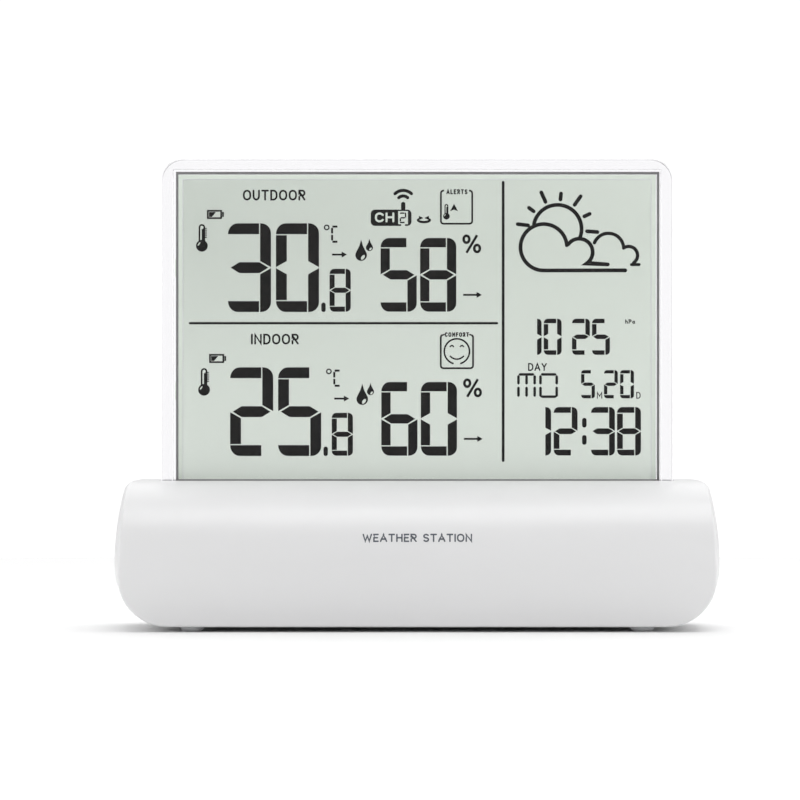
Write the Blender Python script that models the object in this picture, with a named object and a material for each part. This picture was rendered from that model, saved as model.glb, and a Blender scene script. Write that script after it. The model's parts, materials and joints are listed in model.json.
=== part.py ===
"""Desktop weather station: a white two-part base that holds a clear display panel upright.

Frame: +Z up, +Y to the back, +X to the right of someone who looks at the display. The origin lies
on the surface that the station stands on, under the middle of its box. Sizes below are in
millimetres, and mm() turns them into Blender's metres.
"""

import math

import bmesh
import bpy
from mathutils import Matrix, Vector

# ------------------------------------------------------------------ driving sizes, in millimetres
WIDTH = 180.0
DEPTH = 54.0
BASE_TOP = 44.0
BASE_BOTTOM = 1.2
PANEL_TOP = 139.3
PANEL_WIDTH = 151.8
PANEL_THICKNESS = 8.0
PANEL_CORNER = 6.3
WALL = 2.2
GAP = 0.3
FILM_GAP = 0.1

# ------------------------------------------------------------------ base outline and side profile
FRONT_Y = -DEPTH / 2
REAR_Y = DEPTH / 2
INNER_REAR_Y = REAR_Y - WALL
WAIST_Z = 19.0
SIDE_RADIUS = 85.0
TOP_CORNER = 4.4
BOTTOM_CORNER = 17.0
CREST_Y = -2.0
FRONT_LEAN = 2.4
REAR_CORNER = 8.0
SIDE_DRAFT = {-1: 2.6, 1: 2.0}
BOTTOM_DRAFT = 0.3
EDGE_ROUND = 0.9
RIM_STEPS = 4
LEAST_RIM_SHARE = 0.2
PARTING_HALF_GAP = 0.15
FACE_STEPS = {-1: 22, 1: 12}
CORNER_STEPS = 12

# ------------------------------------------------------------------ panel layers, front to back
PANEL_FRONT_Y = -PANEL_THICKNESS / 2
PANEL_BACK_Y = PANEL_THICKNESS / 2
WINDOW_THICKNESS = 1.5
FILM_THICKNESS = 0.25
GLASS_THICKNESS = 1.1
SEAL_THICKNESS = 0.2
SEAL_GAP = 0.05
SEAL_WIDTH = 1.2
GUIDE_THICKNESS = 2.0
TRAY_BACK = 1.0
GLASS_HALF = 71.1
GLASS_TOP = 134.9
POCKET_HALF = GLASS_HALF + 1.3
POCKET_TOP = GLASS_TOP + 1.4
TRAY_BOTTOM = BASE_TOP - 17.2
WINDOW_BOTTOM = BASE_TOP - 4.2
FRONT_GLASS_BOTTOM = BASE_TOP - 3.5
REAR_GLASS_BOTTOM = BASE_TOP - 9.0
FILM_INSET = 1.6
END_SEAL_HEIGHT = 5.4
END_SEAL_Z = {"upper": 107.0, "lower": 70.5}

# ------------------------------------------------------------------ inside the base
BOARD_FRONT_Y = -8.0
BOARD_REAR_Y = -6.4
BOARD_HALF = 58.0
BOARD_Z = (4.5, 38.5)
POST_X = 50.0
POST_Z = 19.0
SCREW_PLACES = {
    "lower_left": (-76.0, 13.0),
    "lower_right": (76.0, 13.0),
    "upper_left": (-81.0, 34.0),
    "upper_right": (81.0, 34.0),
}
BOSS_RADIUS = 3.4
WELL_RADIUS = 2.9
WELL_FLOOR_Y = 4.0
SCREW_RADIUS = 1.2
HOLE_RADIUS = SCREW_RADIUS + GAP
HEAD_RADIUS = 2.4
SCREW_LENGTH = 11.0
FOOT_X = 66.0
FOOT_Y = 17.0
FOOT_RADIUS = 3.8
FOOT_TOP = 2.3
CLAMP_FLOOR_Z = BASE_TOP - 21.4
CLAMP_WALL = 1.4

# ------------------------------------------------------------------ battery bay and door
CELL_RADIUS = 5.2
CELL_LENGTH = 44.5
CELL_PITCH = 10.6
BAY_HALF = 24.8
BAY_WALL = 1.2
BAY_FRONT_Y = 13.0
BAY_Z = (3.6, 35.6)
CELL_Y = BAY_FRONT_Y + 0.4 + CELL_RADIUS
DOOR_HALF = 26.6
DOOR_Z = (4.5, 35.0)
DOOR_THICKNESS = 2.0
CONTACT_THICKNESS = 0.4
CONTACT_HALF = 4.0
COIL_TURNS = 2.5
COIL_STEPS = 10
COIL_RADII = (3.6, 2.0)
COIL_LENGTH = 3.3
COIL_WIRE = 0.35

# ------------------------------------------------------------------ keys on the deck behind the panel
KEY_Y = 12.0
KEY_PROUD = 1.0
KEY_SIZE = (10.0, 6.0)
LIGHT_BAR_SIZE = (40.0, 7.0)
KEY_FLANGE = 1.0
KEY_BOTTOM = BASE_TOP - 3.6
KEYS = {
    "light_bar": 0.0,
    "set_key": -59.0,
    "alert_key": -45.0,
    "channel_key": -31.0,
    "memory_key": 31.0,
    "minus_key": 45.0,
    "plus_key": 59.0,
}
KEY_BOARD_Z = (KEY_BOTTOM - 3.4, KEY_BOTTOM - 2.2)
MAT_Z = (KEY_BOTTOM - 2.1, KEY_BOTTOM - 1.5)
DOME_TOP = KEY_BOTTOM - 1.1
KEY_POST_X = 67.5

# ------------------------------------------------------------------ openings in the rear wall
JACK_X = 60.0
JACK_Z = 14.5
JACK_NOSE_RADIUS = 3.7
JACK_BORE_RADIUS = 2.8
JACK_PIN_RADIUS = 1.0
VENT_X = -62.0
VENT_Z = 21.0
VENT_ROWS = 6
VENT_PITCH = 4.0

CIRCLE_STEPS = 28
SMALL_CIRCLE_STEPS = 12
SMOOTH_ANGLE = math.radians(35)


def mm(value):
    """Millimetres as Blender's metres."""
    return value * 0.001


# ------------------------------------------------------------------ materials
MATERIAL_LOOKS = {
    "white_plastic": ((0.86, 0.86, 0.87), 0.35, 0.0),
    "white_key": ((0.78, 0.79, 0.80), 0.4, 0.0),
    "clear_plastic": ((0.93, 0.94, 0.96), 0.08, 0.0),
    "display_glass": ((0.80, 0.84, 0.80), 0.1, 0.0),
    "display_film": ((0.62, 0.66, 0.62), 0.4, 0.0),
    "seal": ((0.55, 0.60, 0.55), 0.5, 0.0),
    "gasket": ((0.10, 0.10, 0.10), 0.7, 0.0),
    "rubber": ((0.55, 0.55, 0.55), 0.8, 0.0),
    "black_plastic": ((0.03, 0.03, 0.03), 0.4, 0.0),
    "circuit_board": ((0.03, 0.22, 0.09), 0.5, 0.0),
    "steel": ((0.72, 0.72, 0.72), 0.25, 1.0),
    "cell_label": ((0.08, 0.10, 0.14), 0.3, 0.0),
    "wire_red": ((0.5, 0.03, 0.02), 0.5, 0.0),
    "wire_black": ((0.02, 0.02, 0.02), 0.5, 0.0),
    "ribbon": ((0.55, 0.56, 0.60), 0.5, 0.0),
}


def material(name):
    """The named material, made once from the table above."""
    made = bpy.data.materials.get(name)
    if made is None:
        colour, roughness, metallic = MATERIAL_LOOKS[name]
        made = bpy.data.materials.new(name)
        made.use_nodes = True
        shader = made.node_tree.nodes["Principled BSDF"]
        shader.inputs["Base Color"].default_value = (*colour, 1.0)
        shader.inputs["Roughness"].default_value = roughness
        shader.inputs["Metallic"].default_value = metallic
    return made


# ------------------------------------------------------------------ small modelling helpers
def clear_scene():
    for old in list(bpy.data.objects):
        bpy.data.objects.remove(old, do_unlink=True)


def finish_mesh(name, bm, look=None, origin=(0.0, 0.0, 0.0)):
    """Turns a bmesh in millimetres into an object with its origin at a point; no look means a cutter."""
    bmesh.ops.recalc_face_normals(bm, faces=bm.faces)
    shift = Matrix.Translation(-Vector(origin))
    bmesh.ops.transform(bm, matrix=Matrix.Scale(0.001, 4) @ shift, verts=bm.verts)
    mesh = bpy.data.meshes.new(name)
    bm.to_mesh(mesh)
    bm.free()
    mesh.shade_smooth()
    mesh.set_sharp_from_angle(angle=SMOOTH_ANGLE)
    made = bpy.data.objects.new(name, mesh)
    made.location = [mm(value) for value in origin]
    bpy.context.scene.collection.objects.link(made)
    if look:
        mesh.materials.append(material(look))
    else:
        made.hide_render = True
        made.display_type = "WIRE"
    return made


def box(name, low, high, look=None, origin=(0.0, 0.0, 0.0)):
    """Box between two opposite corners."""
    size = [b - a for a, b in zip(low, high)]
    middle = [(a + b) / 2 for a, b in zip(low, high)]
    bm = bmesh.new()
    place = Matrix.Translation(middle) @ Matrix.Diagonal((*size, 1.0))
    bmesh.ops.create_cube(bm, size=1.0, matrix=place)
    return finish_mesh(name, bm, look, origin)


def prism(name, outline, axis, low, high, look=None, origin=(0.0, 0.0, 0.0)):
    """Extrudes a closed outline along an axis. The outline's two numbers are the other two axes."""
    places = {
        "X": lambda a, b, c: (c, a, b),
        "Y": lambda a, b, c: (a, c, b),
        "Z": lambda a, b, c: (a, b, c),
    }
    bm = bmesh.new()
    corners = [bm.verts.new(places[axis](a, b, low)) for a, b in outline]
    face = bm.faces.new(corners)
    pushed = bmesh.ops.extrude_face_region(bm, geom=[face])["geom"]
    moved = [item for item in pushed if isinstance(item, bmesh.types.BMVert)]
    bmesh.ops.translate(bm, vec=Vector(places[axis](0.0, 0.0, high - low)), verts=moved)
    return finish_mesh(name, bm, look, origin)


def bridge_rings(bm, rings):
    """Joins a row of equal rings of vertices into a closed skin with flat ends."""
    count = len(rings[0])
    for lower, upper in zip(rings, rings[1:]):
        for here in range(count):
            after = (here + 1) % count
            bm.faces.new((lower[here], lower[after], upper[after], upper[here]))
    bm.faces.new(rings[0])
    bm.faces.new(rings[-1])


def turned(name, profile, centre, axis, look=None, steps=CIRCLE_STEPS):
    """Turns a profile of (radius, height) pairs round an axis that starts at a centre."""
    turns = {
        "X": Matrix.Rotation(math.radians(90), 4, "Y"),
        "-X": Matrix.Rotation(math.radians(-90), 4, "Y"),
        "Y": Matrix.Rotation(math.radians(-90), 4, "X"),
        "-Y": Matrix.Rotation(math.radians(90), 4, "X"),
        "Z": Matrix.Identity(4),
    }
    bm = bmesh.new()
    rings = []
    for radius, height in profile:
        angles = [2 * math.pi * step / steps for step in range(steps)]
        ring = [bm.verts.new((radius * math.cos(a), radius * math.sin(a), height)) for a in angles]
        rings.append(ring)
    bridge_rings(bm, rings)
    bmesh.ops.transform(bm, matrix=Matrix.Translation(centre) @ turns[axis], verts=bm.verts)
    return finish_mesh(name, bm, look)


def rod(name, radius, start, length, axis, look=None, steps=CIRCLE_STEPS):
    return turned(name, [(radius, 0.0), (radius, length)], start, axis, look, steps)


def screw_hole(name, start, axis="-Y", length=12.0):
    return rod(name, HOLE_RADIUS, start, length, axis, steps=SMALL_CIRCLE_STEPS)


def tube(name, points, radius, look=None, sides=8):
    """Round tube along a line of points, with flat ends."""
    bm = bmesh.new()
    rings = []
    across = Vector((0.3, 0.2, 0.9))
    for here, point in enumerate(points):
        ahead = points[min(here + 1, len(points) - 1)] - points[max(here - 1, 0)]
        ahead.normalize()
        across = (across - ahead * across.dot(ahead)).normalized()
        second = ahead.cross(across)
        ring = []
        for side in range(sides):
            turn = 2 * math.pi * side / sides
            out = across * math.cos(turn) + second * math.sin(turn)
            ring.append(bm.verts.new(point + radius * out))
        rings.append(ring)
    bridge_rings(bm, rings)
    return finish_mesh(name, bm, look)


def smooth_route(route, count):
    """Points along a smooth curve (Catmull-Rom) through the route's own points."""
    points = [Vector(point) for point in route]
    points = [2 * points[0] - points[1]] + points + [2 * points[-1] - points[-2]]
    spans = len(points) - 3
    found = []
    for step in range(count + 1):
        here = min(step * spans // count, spans - 1)
        t = step * spans / count - here
        before, start, end, after = points[here : here + 4]
        linear = (end - before) * t
        square = (2 * before - 5 * start + 4 * end - after) * t**2
        cube = (3 * start - before - 3 * end + after) * t**3
        found.append(0.5 * (2 * start + linear + square + cube))
    return found


def wire(name, route, radius, look, count):
    return tube(name, smooth_route(route, count), radius, look)


def boolean(target, tool, operation):
    change = target.modifiers.new(tool.name, "BOOLEAN")
    change.operation = operation
    change.solver = "EXACT"
    change.object = tool


def cut(target, *tools):
    for tool in tools:
        boolean(target, tool, "DIFFERENCE")


def join(target, *tools):
    for tool in tools:
        boolean(target, tool, "UNION")


def round_edges(target, width, segments=2, angle=40):
    change = target.modifiers.new("rounded", "BEVEL")
    change.width = mm(width)
    change.segments = segments
    change.limit_method = "ANGLE"
    change.angle_limit = math.radians(angle)


def rounded_rectangle(half_a, half_b, radius, centre=(0.0, 0.0), steps=5):
    """Closed outline of a rectangle with round corners."""
    points = []
    for sign_a, sign_b, start in ((1, 1, 0), (-1, 1, 90), (-1, -1, 180), (1, -1, 270)):
        for step in range(steps + 1):
            angle = math.radians(start + 90 * step / steps)
            a = centre[0] + sign_a * (half_a - radius) + radius * math.cos(angle)
            b = centre[1] + sign_b * (half_b - radius) + radius * math.sin(angle)
            points.append((a, b))
    return points


# ------------------------------------------------------------------ the base's outer surface
def half_width(z, inset, floor, ceiling):
    """Half the base's width at a height, for an outline moved in by inset from the widest one."""
    radius = SIDE_RADIUS - inset
    side_x = WIDTH / 2 - SIDE_RADIUS
    top_corner = max(TOP_CORNER - inset, 0.5)
    bottom_corner = BOTTOM_CORNER - inset
    top_z = ceiling - top_corner
    bottom_z = floor + bottom_corner
    on_side = side_x + math.sqrt(radius**2 - (z - WAIST_Z) ** 2)
    if z > top_z:
        corner_x = side_x + math.sqrt((radius - top_corner) ** 2 - (top_z - WAIST_Z) ** 2)
        rise = min(z - top_z, top_corner)
        return min(on_side, corner_x + math.sqrt(top_corner**2 - rise**2))
    if z < bottom_z:
        corner_x = side_x + math.sqrt((radius - bottom_corner) ** 2 - (bottom_z - WAIST_Z) ** 2)
        drop = min(bottom_z - z, bottom_corner)
        return min(on_side, corner_x + math.sqrt(bottom_corner**2 - drop**2))
    return on_side


def front_face_y(z, offset):
    """Where the curved front face is at a height: an ellipse above the waist, a slow lean below."""
    reach = CREST_Y - FRONT_Y - offset
    rise = BASE_TOP - WAIST_Z - offset
    if z >= WAIST_Z:
        share = min((z - WAIST_Z) / rise, 1.0)
        return CREST_Y - reach * math.sqrt(1.0 - share**2)
    return FRONT_Y + offset + FRONT_LEAN * ((WAIST_Z - z) / (WAIST_Z - BASE_BOTTOM)) ** 2


def rear_face_y(z, offset):
    """Where the rear face is at a height: flat, with a round upper edge under the key deck."""
    corner = REAR_CORNER - offset
    start = BASE_TOP - REAR_CORNER
    if z <= start:
        return REAR_Y - offset
    share = min((z - start) / corner, 1.0)
    return REAR_Y - REAR_CORNER + corner * math.sqrt(1.0 - share**2)


def level_heights(side, offset):
    """Heights of the outline's points, from the top down: close together where the surface bends."""
    upper_start = WAIST_Z if side < 0 else BASE_TOP - REAR_CORNER
    top = BASE_TOP - offset
    heights = []
    for step in range(FACE_STEPS[side] + 1):
        angle = math.radians(90 * (1 - step / FACE_STEPS[side]))
        heights.append(upper_start + (top - upper_start) * math.sin(angle))
    bottom_corner = BOTTOM_CORNER - offset
    corner_z = BASE_BOTTOM + offset + bottom_corner
    if side > 0:
        middle_steps = 4
        span = corner_z - upper_start
        heights += [upper_start + span * step / middle_steps for step in range(1, middle_steps)]
    for step in range(CORNER_STEPS + 1):
        angle = math.radians(90 * step / CORNER_STEPS)
        heights.append(corner_z - bottom_corner * math.sin(angle))
    return heights


def rim_rings(offset):
    """Shares of the rim's radius by which each ring goes in, and back from the face."""
    if offset:
        return [(0.0, 0.0)]
    angles = [math.radians(90 * step / RIM_STEPS) for step in range(RIM_STEPS + 1)]
    return [(1 - math.cos(angle), 1 - math.sin(angle)) for angle in angles]


def half_body(name, side, offset, meet_y, look=None):
    """Front (side -1) or rear (side 1) half of the base, moved in by offset, closed at meet_y."""
    face_y = front_face_y if side < 0 else rear_face_y
    heights = level_heights(side, offset)
    top, bottom = heights[0], heights[-1]
    bm = bmesh.new()
    rows = []
    meeting = [(half_width(z, offset, bottom, top), meet_y, z) for z in heights]
    rows.append([[bm.verts.new((sign * x, y, z)) for x, y, z in meeting] for sign in (-1, 1)])
    for inset, back in rim_rings(offset):
        ring = []
        for z in heights:
            share = abs(face_y(z, offset)) / REAR_Y
            rim = EDGE_ROUND * max(share, LEAST_RIM_SHARE)
            lift = BOTTOM_DRAFT * share + rim * inset
            outer_z = z + lift * (top - z) / (top - bottom)
            narrowing = offset + SIDE_DRAFT[side] * share + rim * inset
            x = half_width(outer_z, narrowing, bottom + lift, top)
            ring.append((x, face_y(outer_z, offset) - side * rim * back, outer_z))
        rows.append([[bm.verts.new((sign * x, y, z)) for x, y, z in ring] for sign in (-1, 1)])
    levels = range(len(heights) - 1)
    for near, far in zip(rows, rows[1:]):
        for a, b in zip(near, far):
            for here in levels:
                bm.faces.new((a[here], b[here], b[here + 1], a[here + 1]))
        for end in (0, -1):
            bm.faces.new((near[0][end], near[1][end], far[1][end], far[0][end]))
    left, right = rows[-1]
    for here in levels:
        bm.faces.new((left[here], right[here], right[here + 1], left[here + 1]))
    bm.faces.new(rows[0][0] + rows[0][1][::-1])
    return finish_mesh(name, bm, look)


def slot_cutter(name):
    """The opening on top of the base that the panel stands in."""
    half = PANEL_WIDTH / 2 + GAP
    depth = PANEL_BACK_Y + GAP
    return box(name, (-half, -depth, BASE_TOP - 8.0), (half, depth, BASE_TOP + 5.0))


def foot_recess(name, x, y):
    return rod(name, FOOT_RADIUS + GAP, (x, y, 0.0), FOOT_TOP + GAP, "Z")


def key_outline(name, grow, radius_cut):
    """Outline of a key's cap or hole, grown by a margin."""
    size = LIGHT_BAR_SIZE if name == "light_bar" else KEY_SIZE
    radius = size[1] / 2 - radius_cut
    return rounded_rectangle(size[0] / 2 + grow, size[1] / 2 + grow, radius, (KEYS[name], KEY_Y))


# ------------------------------------------------------------------ shells, feet and screws
def make_front_shell():
    """Front half of the base: bosses and posts are what the hollow leaves standing."""
    shell = half_body("front_shell", -1, 0.0, -PARTING_HALF_GAP, "white_plastic")
    hollow = half_body("front_hollow", -1, WALL, 3.0)
    for place, (x, z) in SCREW_PLACES.items():
        start = (x, -PARTING_HALF_GAP - GAP, z)
        cut(hollow, rod(f"front_boss_{place}", BOSS_RADIUS, start, DEPTH / 2, "-Y"))
    for side in (-1, 1):
        start = (side * POST_X, BOARD_FRONT_Y - GAP, POST_Z)
        cut(hollow, rod(f"board_post_{side}", BOSS_RADIUS, start, DEPTH / 2, "-Y"))
    cut(shell, hollow, slot_cutter("front_slot"))
    for place, (x, z) in SCREW_PLACES.items():
        cut(shell, screw_hole(f"front_boss_hole_{place}", (x, 1.0, z)))
    for side in (-1, 1):
        start = (side * POST_X, BOARD_FRONT_Y + 1.0, POST_Z)
        cut(shell, screw_hole(f"board_post_hole_{side}", start, length=10.0))
        cut(shell, foot_recess(f"front_foot_recess_{side}", side * FOOT_X, -FOOT_Y))
    return shell


def leave_rear_supports(hollow):
    """Keeps the bay's walls, the door's ledge, the screw pillars and the key board's posts."""
    outer = BAY_HALF + BAY_WALL
    rim = DOOR_HALF + GAP + BAY_WALL
    top = BAY_Z[1] + BAY_WALL
    cut(hollow, box("bay_walls", (-outer, BAY_FRONT_Y - BAY_WALL, 0.0), (outer, REAR_Y, top)))
    cut(hollow, box("bay_rim", (-rim, INNER_REAR_Y - 1.6, 0.0), (rim, REAR_Y, top)))
    for place, (x, z) in SCREW_PLACES.items():
        start = (x, PARTING_HALF_GAP + GAP, z)
        cut(hollow, rod(f"rear_pillar_{place}", BOSS_RADIUS + 0.4, start, DEPTH / 2, "Y"))
    for side in (-1, 1):
        foot = (side * KEY_POST_X, KEY_Y, KEY_BOARD_Z[1] + GAP)
        cut(hollow, rod(f"key_board_post_{side}", 1.6, foot, 10.0, "Z", steps=SMALL_CIRCLE_STEPS))


def make_rear_shell():
    """Rear half of the base, with the battery bay, the screw wells and the openings for the keys."""
    shell = half_body("rear_shell", 1, 0.0, PARTING_HALF_GAP, "white_plastic")
    hollow = half_body("rear_hollow", 1, WALL, -3.0)
    leave_rear_supports(hollow)
    cut(shell, hollow, slot_cutter("rear_slot"))
    bay_low = (-BAY_HALF, BAY_FRONT_Y, BAY_Z[0])
    cut(shell, box("bay_room", bay_low, (BAY_HALF, INNER_REAR_Y, BAY_Z[1])))
    opening_low = (-DOOR_HALF - GAP, REAR_Y - DOOR_THICKNESS - GAP, DOOR_Z[0] - GAP)
    opening_high = (DOOR_HALF + GAP, REAR_Y + 1.0, DOOR_Z[1] + GAP)
    cut(shell, box("door_opening", opening_low, opening_high))
    for place, (x, z) in SCREW_PLACES.items():
        well = rod(f"screw_well_{place}", WELL_RADIUS, (x, WELL_FLOOR_Y, z), DEPTH / 2, "Y")
        cut(shell, well, screw_hole(f"rear_hole_{place}", (x, -1.0, z), "Y", 8.0))
    for name in KEYS:
        outline = key_outline(name, GAP, 0.2)
        cut(shell, prism(f"hole_{name}", outline, "Z", BASE_TOP - WALL - 1.0, BASE_TOP + 1.0))
    for row in range(VENT_ROWS):
        z = VENT_Z + (row - (VENT_ROWS - 1) / 2) * VENT_PITCH
        outline = rounded_rectangle(8.0, 0.8, 0.7, (VENT_X, z), steps=3)
        cut(shell, prism(f"vent_{row}", outline, "Y", INNER_REAR_Y - 1.0, REAR_Y + 1.0))
    jack_start = (JACK_X, INNER_REAR_Y - 1.0, JACK_Z)
    cut(shell, rod("jack_hole", JACK_NOSE_RADIUS + GAP, jack_start, 5.0, "Y"))
    for side in (-1, 1):
        cut(shell, foot_recess(f"rear_foot_recess_{side}", side * FOOT_X, FOOT_Y))
    return shell


def make_feet():
    profile = [(2.0, 0.0), (2.7, 0.15), (3.3, 0.5), (3.65, 1.0), (FOOT_RADIUS, 1.6), (FOOT_RADIUS, FOOT_TOP)]
    for row, y in (("front", -FOOT_Y), ("rear", FOOT_Y)):
        for column, x in (("left", -FOOT_X), ("right", FOOT_X)):
            turned(f"foot_{row}_{column}", profile, (x, y, 0.0), "Z", "rubber")


def make_screw(name, x, y, z):
    """Pan-head screw with a cross recess: the head's underside is at y and the shank runs forward."""
    profile = [
        (1.6, -1.5),
        (2.2, -1.1),
        (HEAD_RADIUS, -0.3),
        (HEAD_RADIUS, 0.0),
        (SCREW_RADIUS, 0.0),
        (SCREW_RADIUS, SCREW_LENGTH - 1.0),
        (0.4, SCREW_LENGTH),
    ]
    screw = turned(name, profile, (x, y, z), "-Y", "steel", 16)
    for turn, (half_x, half_z) in enumerate(((1.3, 0.25), (0.25, 1.3))):
        low = (x - half_x, y + 0.8, z - half_z)
        cut(screw, box(f"{name}_recess_{turn}", low, (x + half_x, y + 2.0, z + half_z)))
    return screw


def make_screws():
    for place, (x, z) in SCREW_PLACES.items():
        make_screw(f"housing_screw_{place}", x, WELL_FLOOR_Y + GAP, z)
    for side, label in ((-1, "left"), (1, "right")):
        make_screw(f"clamp_screw_{label}", side * POST_X, -PANEL_BACK_Y + 0.1, POST_Z)


# ------------------------------------------------------------------ display panel
def panel_outline(half, low, high, corner, steps=10):
    """Upright rectangle with two round upper corners, from the lower left, clockwise."""
    points = [(-half, low)]
    for side, start in ((-1, 180), (1, 90)):
        for step in range(steps + 1):
            angle = math.radians(start - 90 * step / steps)
            x = side * (half - corner) + corner * math.cos(angle)
            points.append((x, high - corner + corner * math.sin(angle)))
    points.append((half, low))
    return points


def layer(name, half, low, high, front, thickness, look):
    return box(name, (-half, front, low), (half, front + thickness, high), look)


def make_gasket(front, back):
    """Thin dark strip round the glass, thinner beside the two end seals."""
    outer_x = POCKET_HALF - FILM_GAP
    outer_z = POCKET_TOP - 2 * FILM_GAP
    inner_x = GLASS_HALF + GAP + FILM_GAP
    inner_z = GLASS_TOP + GAP + FILM_GAP
    low = WINDOW_BOTTOM + 1.0
    thin_x = outer_x - GAP
    notch = END_SEAL_HEIGHT / 2 + 0.5
    points = [(-outer_x, low), (-outer_x, outer_z), (outer_x, outer_z), (outer_x, low)]
    points += [(inner_x, low), (inner_x, inner_z), (-inner_x, inner_z)]
    for z in END_SEAL_Z.values():
        points += [(-inner_x, z + notch), (-thin_x, z + notch - 0.5)]
        points += [(-thin_x, z - notch + 0.5), (-inner_x, z - notch)]
    points.append((-inner_x, low))
    prism("edge_gasket", points, "Y", front, back, "gasket")


def make_display():
    """The panel's layers, front to back: window, polariser, two glasses, polariser and light guide."""
    film_half = GLASS_HALF - FILM_INSET
    film_top = GLASS_TOP - FILM_INSET
    outline = panel_outline(PANEL_WIDTH / 2, WINDOW_BOTTOM, PANEL_TOP, PANEL_CORNER)
    y = PANEL_FRONT_Y
    round_edges(prism("front_window", outline, "Y", y, y + WINDOW_THICKNESS, "clear_plastic"), 0.3)
    y += WINDOW_THICKNESS + FILM_GAP
    tray_front = y
    layer("front_polariser", film_half, FRONT_GLASS_BOTTOM, film_top, y, FILM_THICKNESS, "display_film")
    y += FILM_THICKNESS + FILM_GAP
    glass_front = y
    layer("lcd_front_glass", GLASS_HALF, FRONT_GLASS_BOTTOM, GLASS_TOP, y, GLASS_THICKNESS, "display_glass")
    y += GLASS_THICKNESS + SEAL_GAP
    make_seal(y)
    y += SEAL_THICKNESS + SEAL_GAP
    rear_glass_front = y
    layer("lcd_rear_glass", GLASS_HALF, REAR_GLASS_BOTTOM, GLASS_TOP, y, GLASS_THICKNESS, "display_glass")
    glass_back = y + GLASS_THICKNESS
    y = glass_back + FILM_GAP
    low = REAR_GLASS_BOTTOM + 1.0
    layer("rear_polariser", film_half, low, film_top, y, FILM_THICKNESS, "display_film")
    y += FILM_THICKNESS + FILM_GAP
    layer("light_guide", GLASS_HALF, TRAY_BOTTOM, GLASS_TOP, y, GUIDE_THICKNESS, "clear_plastic")
    make_tray(tray_front)
    make_gasket(tray_front + FILM_GAP, glass_back)
    for label, z in END_SEAL_Z.items():
        outline = rounded_rectangle(0.3, END_SEAL_HEIGHT / 2, 0.25, (-GLASS_HALF - 0.4, z), steps=3)
        prism(f"end_seal_{label}", outline, "Y", glass_front + FILM_GAP, glass_back - FILM_GAP, "seal")
    zebra_low = (-POST_X, BOARD_REAR_Y + FILM_GAP, REAR_GLASS_BOTTOM + 0.5)
    zebra_high = (POST_X, rear_glass_front - FILM_GAP, REAR_GLASS_BOTTOM + 3.5)
    box("zebra_strip", zebra_low, zebra_high, "rubber")


def make_seal(front):
    """Frame of adhesive that joins the two glasses round their edge."""
    edge = 0.2
    inner = SEAL_WIDTH + edge
    low, high = FRONT_GLASS_BOTTOM + edge, GLASS_TOP - edge
    seal = layer("lcd_seal", GLASS_HALF - edge, low, high, front, SEAL_THICKNESS, "seal")
    room_low = (-GLASS_HALF + inner, front - 1.0, FRONT_GLASS_BOTTOM + inner)
    cut(seal, box("seal_room", room_low, (GLASS_HALF - inner, front + 1.0, GLASS_TOP - inner)))


def make_tray(front):
    """Clear tray behind the window: a rim round the layers and a back wall."""
    outline = panel_outline(PANEL_WIDTH / 2, TRAY_BOTTOM, PANEL_TOP, PANEL_CORNER)
    tray = prism("clear_tray", outline, "Y", front, PANEL_BACK_Y, "clear_plastic")
    round_edges(tray, 0.3)
    low = (-POCKET_HALF, front - 1.0, TRAY_BOTTOM - 1.0)
    cut(tray, box("tray_pocket", low, (POCKET_HALF, PANEL_BACK_Y - TRAY_BACK, POCKET_TOP)))


def make_clamp():
    """Channel that grips the panel's lower edge, with two ears that screw to the front shell."""
    half = PANEL_WIDTH / 2 - 1.0
    grip = PANEL_BACK_Y + GAP
    outer = grip + CLAMP_WALL
    floor = CLAMP_FLOOR_Z
    top = floor + 9.4
    clamp = box("panel_clamp", (-half, -outer, floor), (half, outer, top), "white_plastic")
    low = (-half - 1.0, -grip, floor + CLAMP_WALL)
    cut(clamp, box("clamp_channel", low, (half + 1.0, grip, top + 1.0)))
    for side in (-1, 1):
        x = side * POST_X
        ear_low = (x - 5.0, BOARD_REAR_Y + GAP, POST_Z - 4.5)
        join(clamp, box(f"clamp_ear_{side}", ear_low, (x + 5.0, -grip + 0.1, floor + 0.8)))
        cut(clamp, screw_hole(f"clamp_hole_{side}", (x, 2.0, POST_Z)))
    board_z = floor + CLAMP_WALL + GAP
    box("backlight_board", (-68.0, -1.0, board_z), (68.0, 3.8, board_z + 1.0), "circuit_board")
    led_z = board_z + 1.0 + FILM_GAP
    for number, x in enumerate((-45.0, 0.0, 45.0), start=1):
        low, high = (x - 1.75, 0.5, led_z), (x + 1.75, 3.3, led_z + 1.1)
        led = box(f"backlight_led_{number}", low, high, "white_key")
        cut(led, rod(f"led_lens_{number}", 1.0, (x, 1.9, led_z + 0.8), 1.0, "Z", steps=SMALL_CIRCLE_STEPS))


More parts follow.
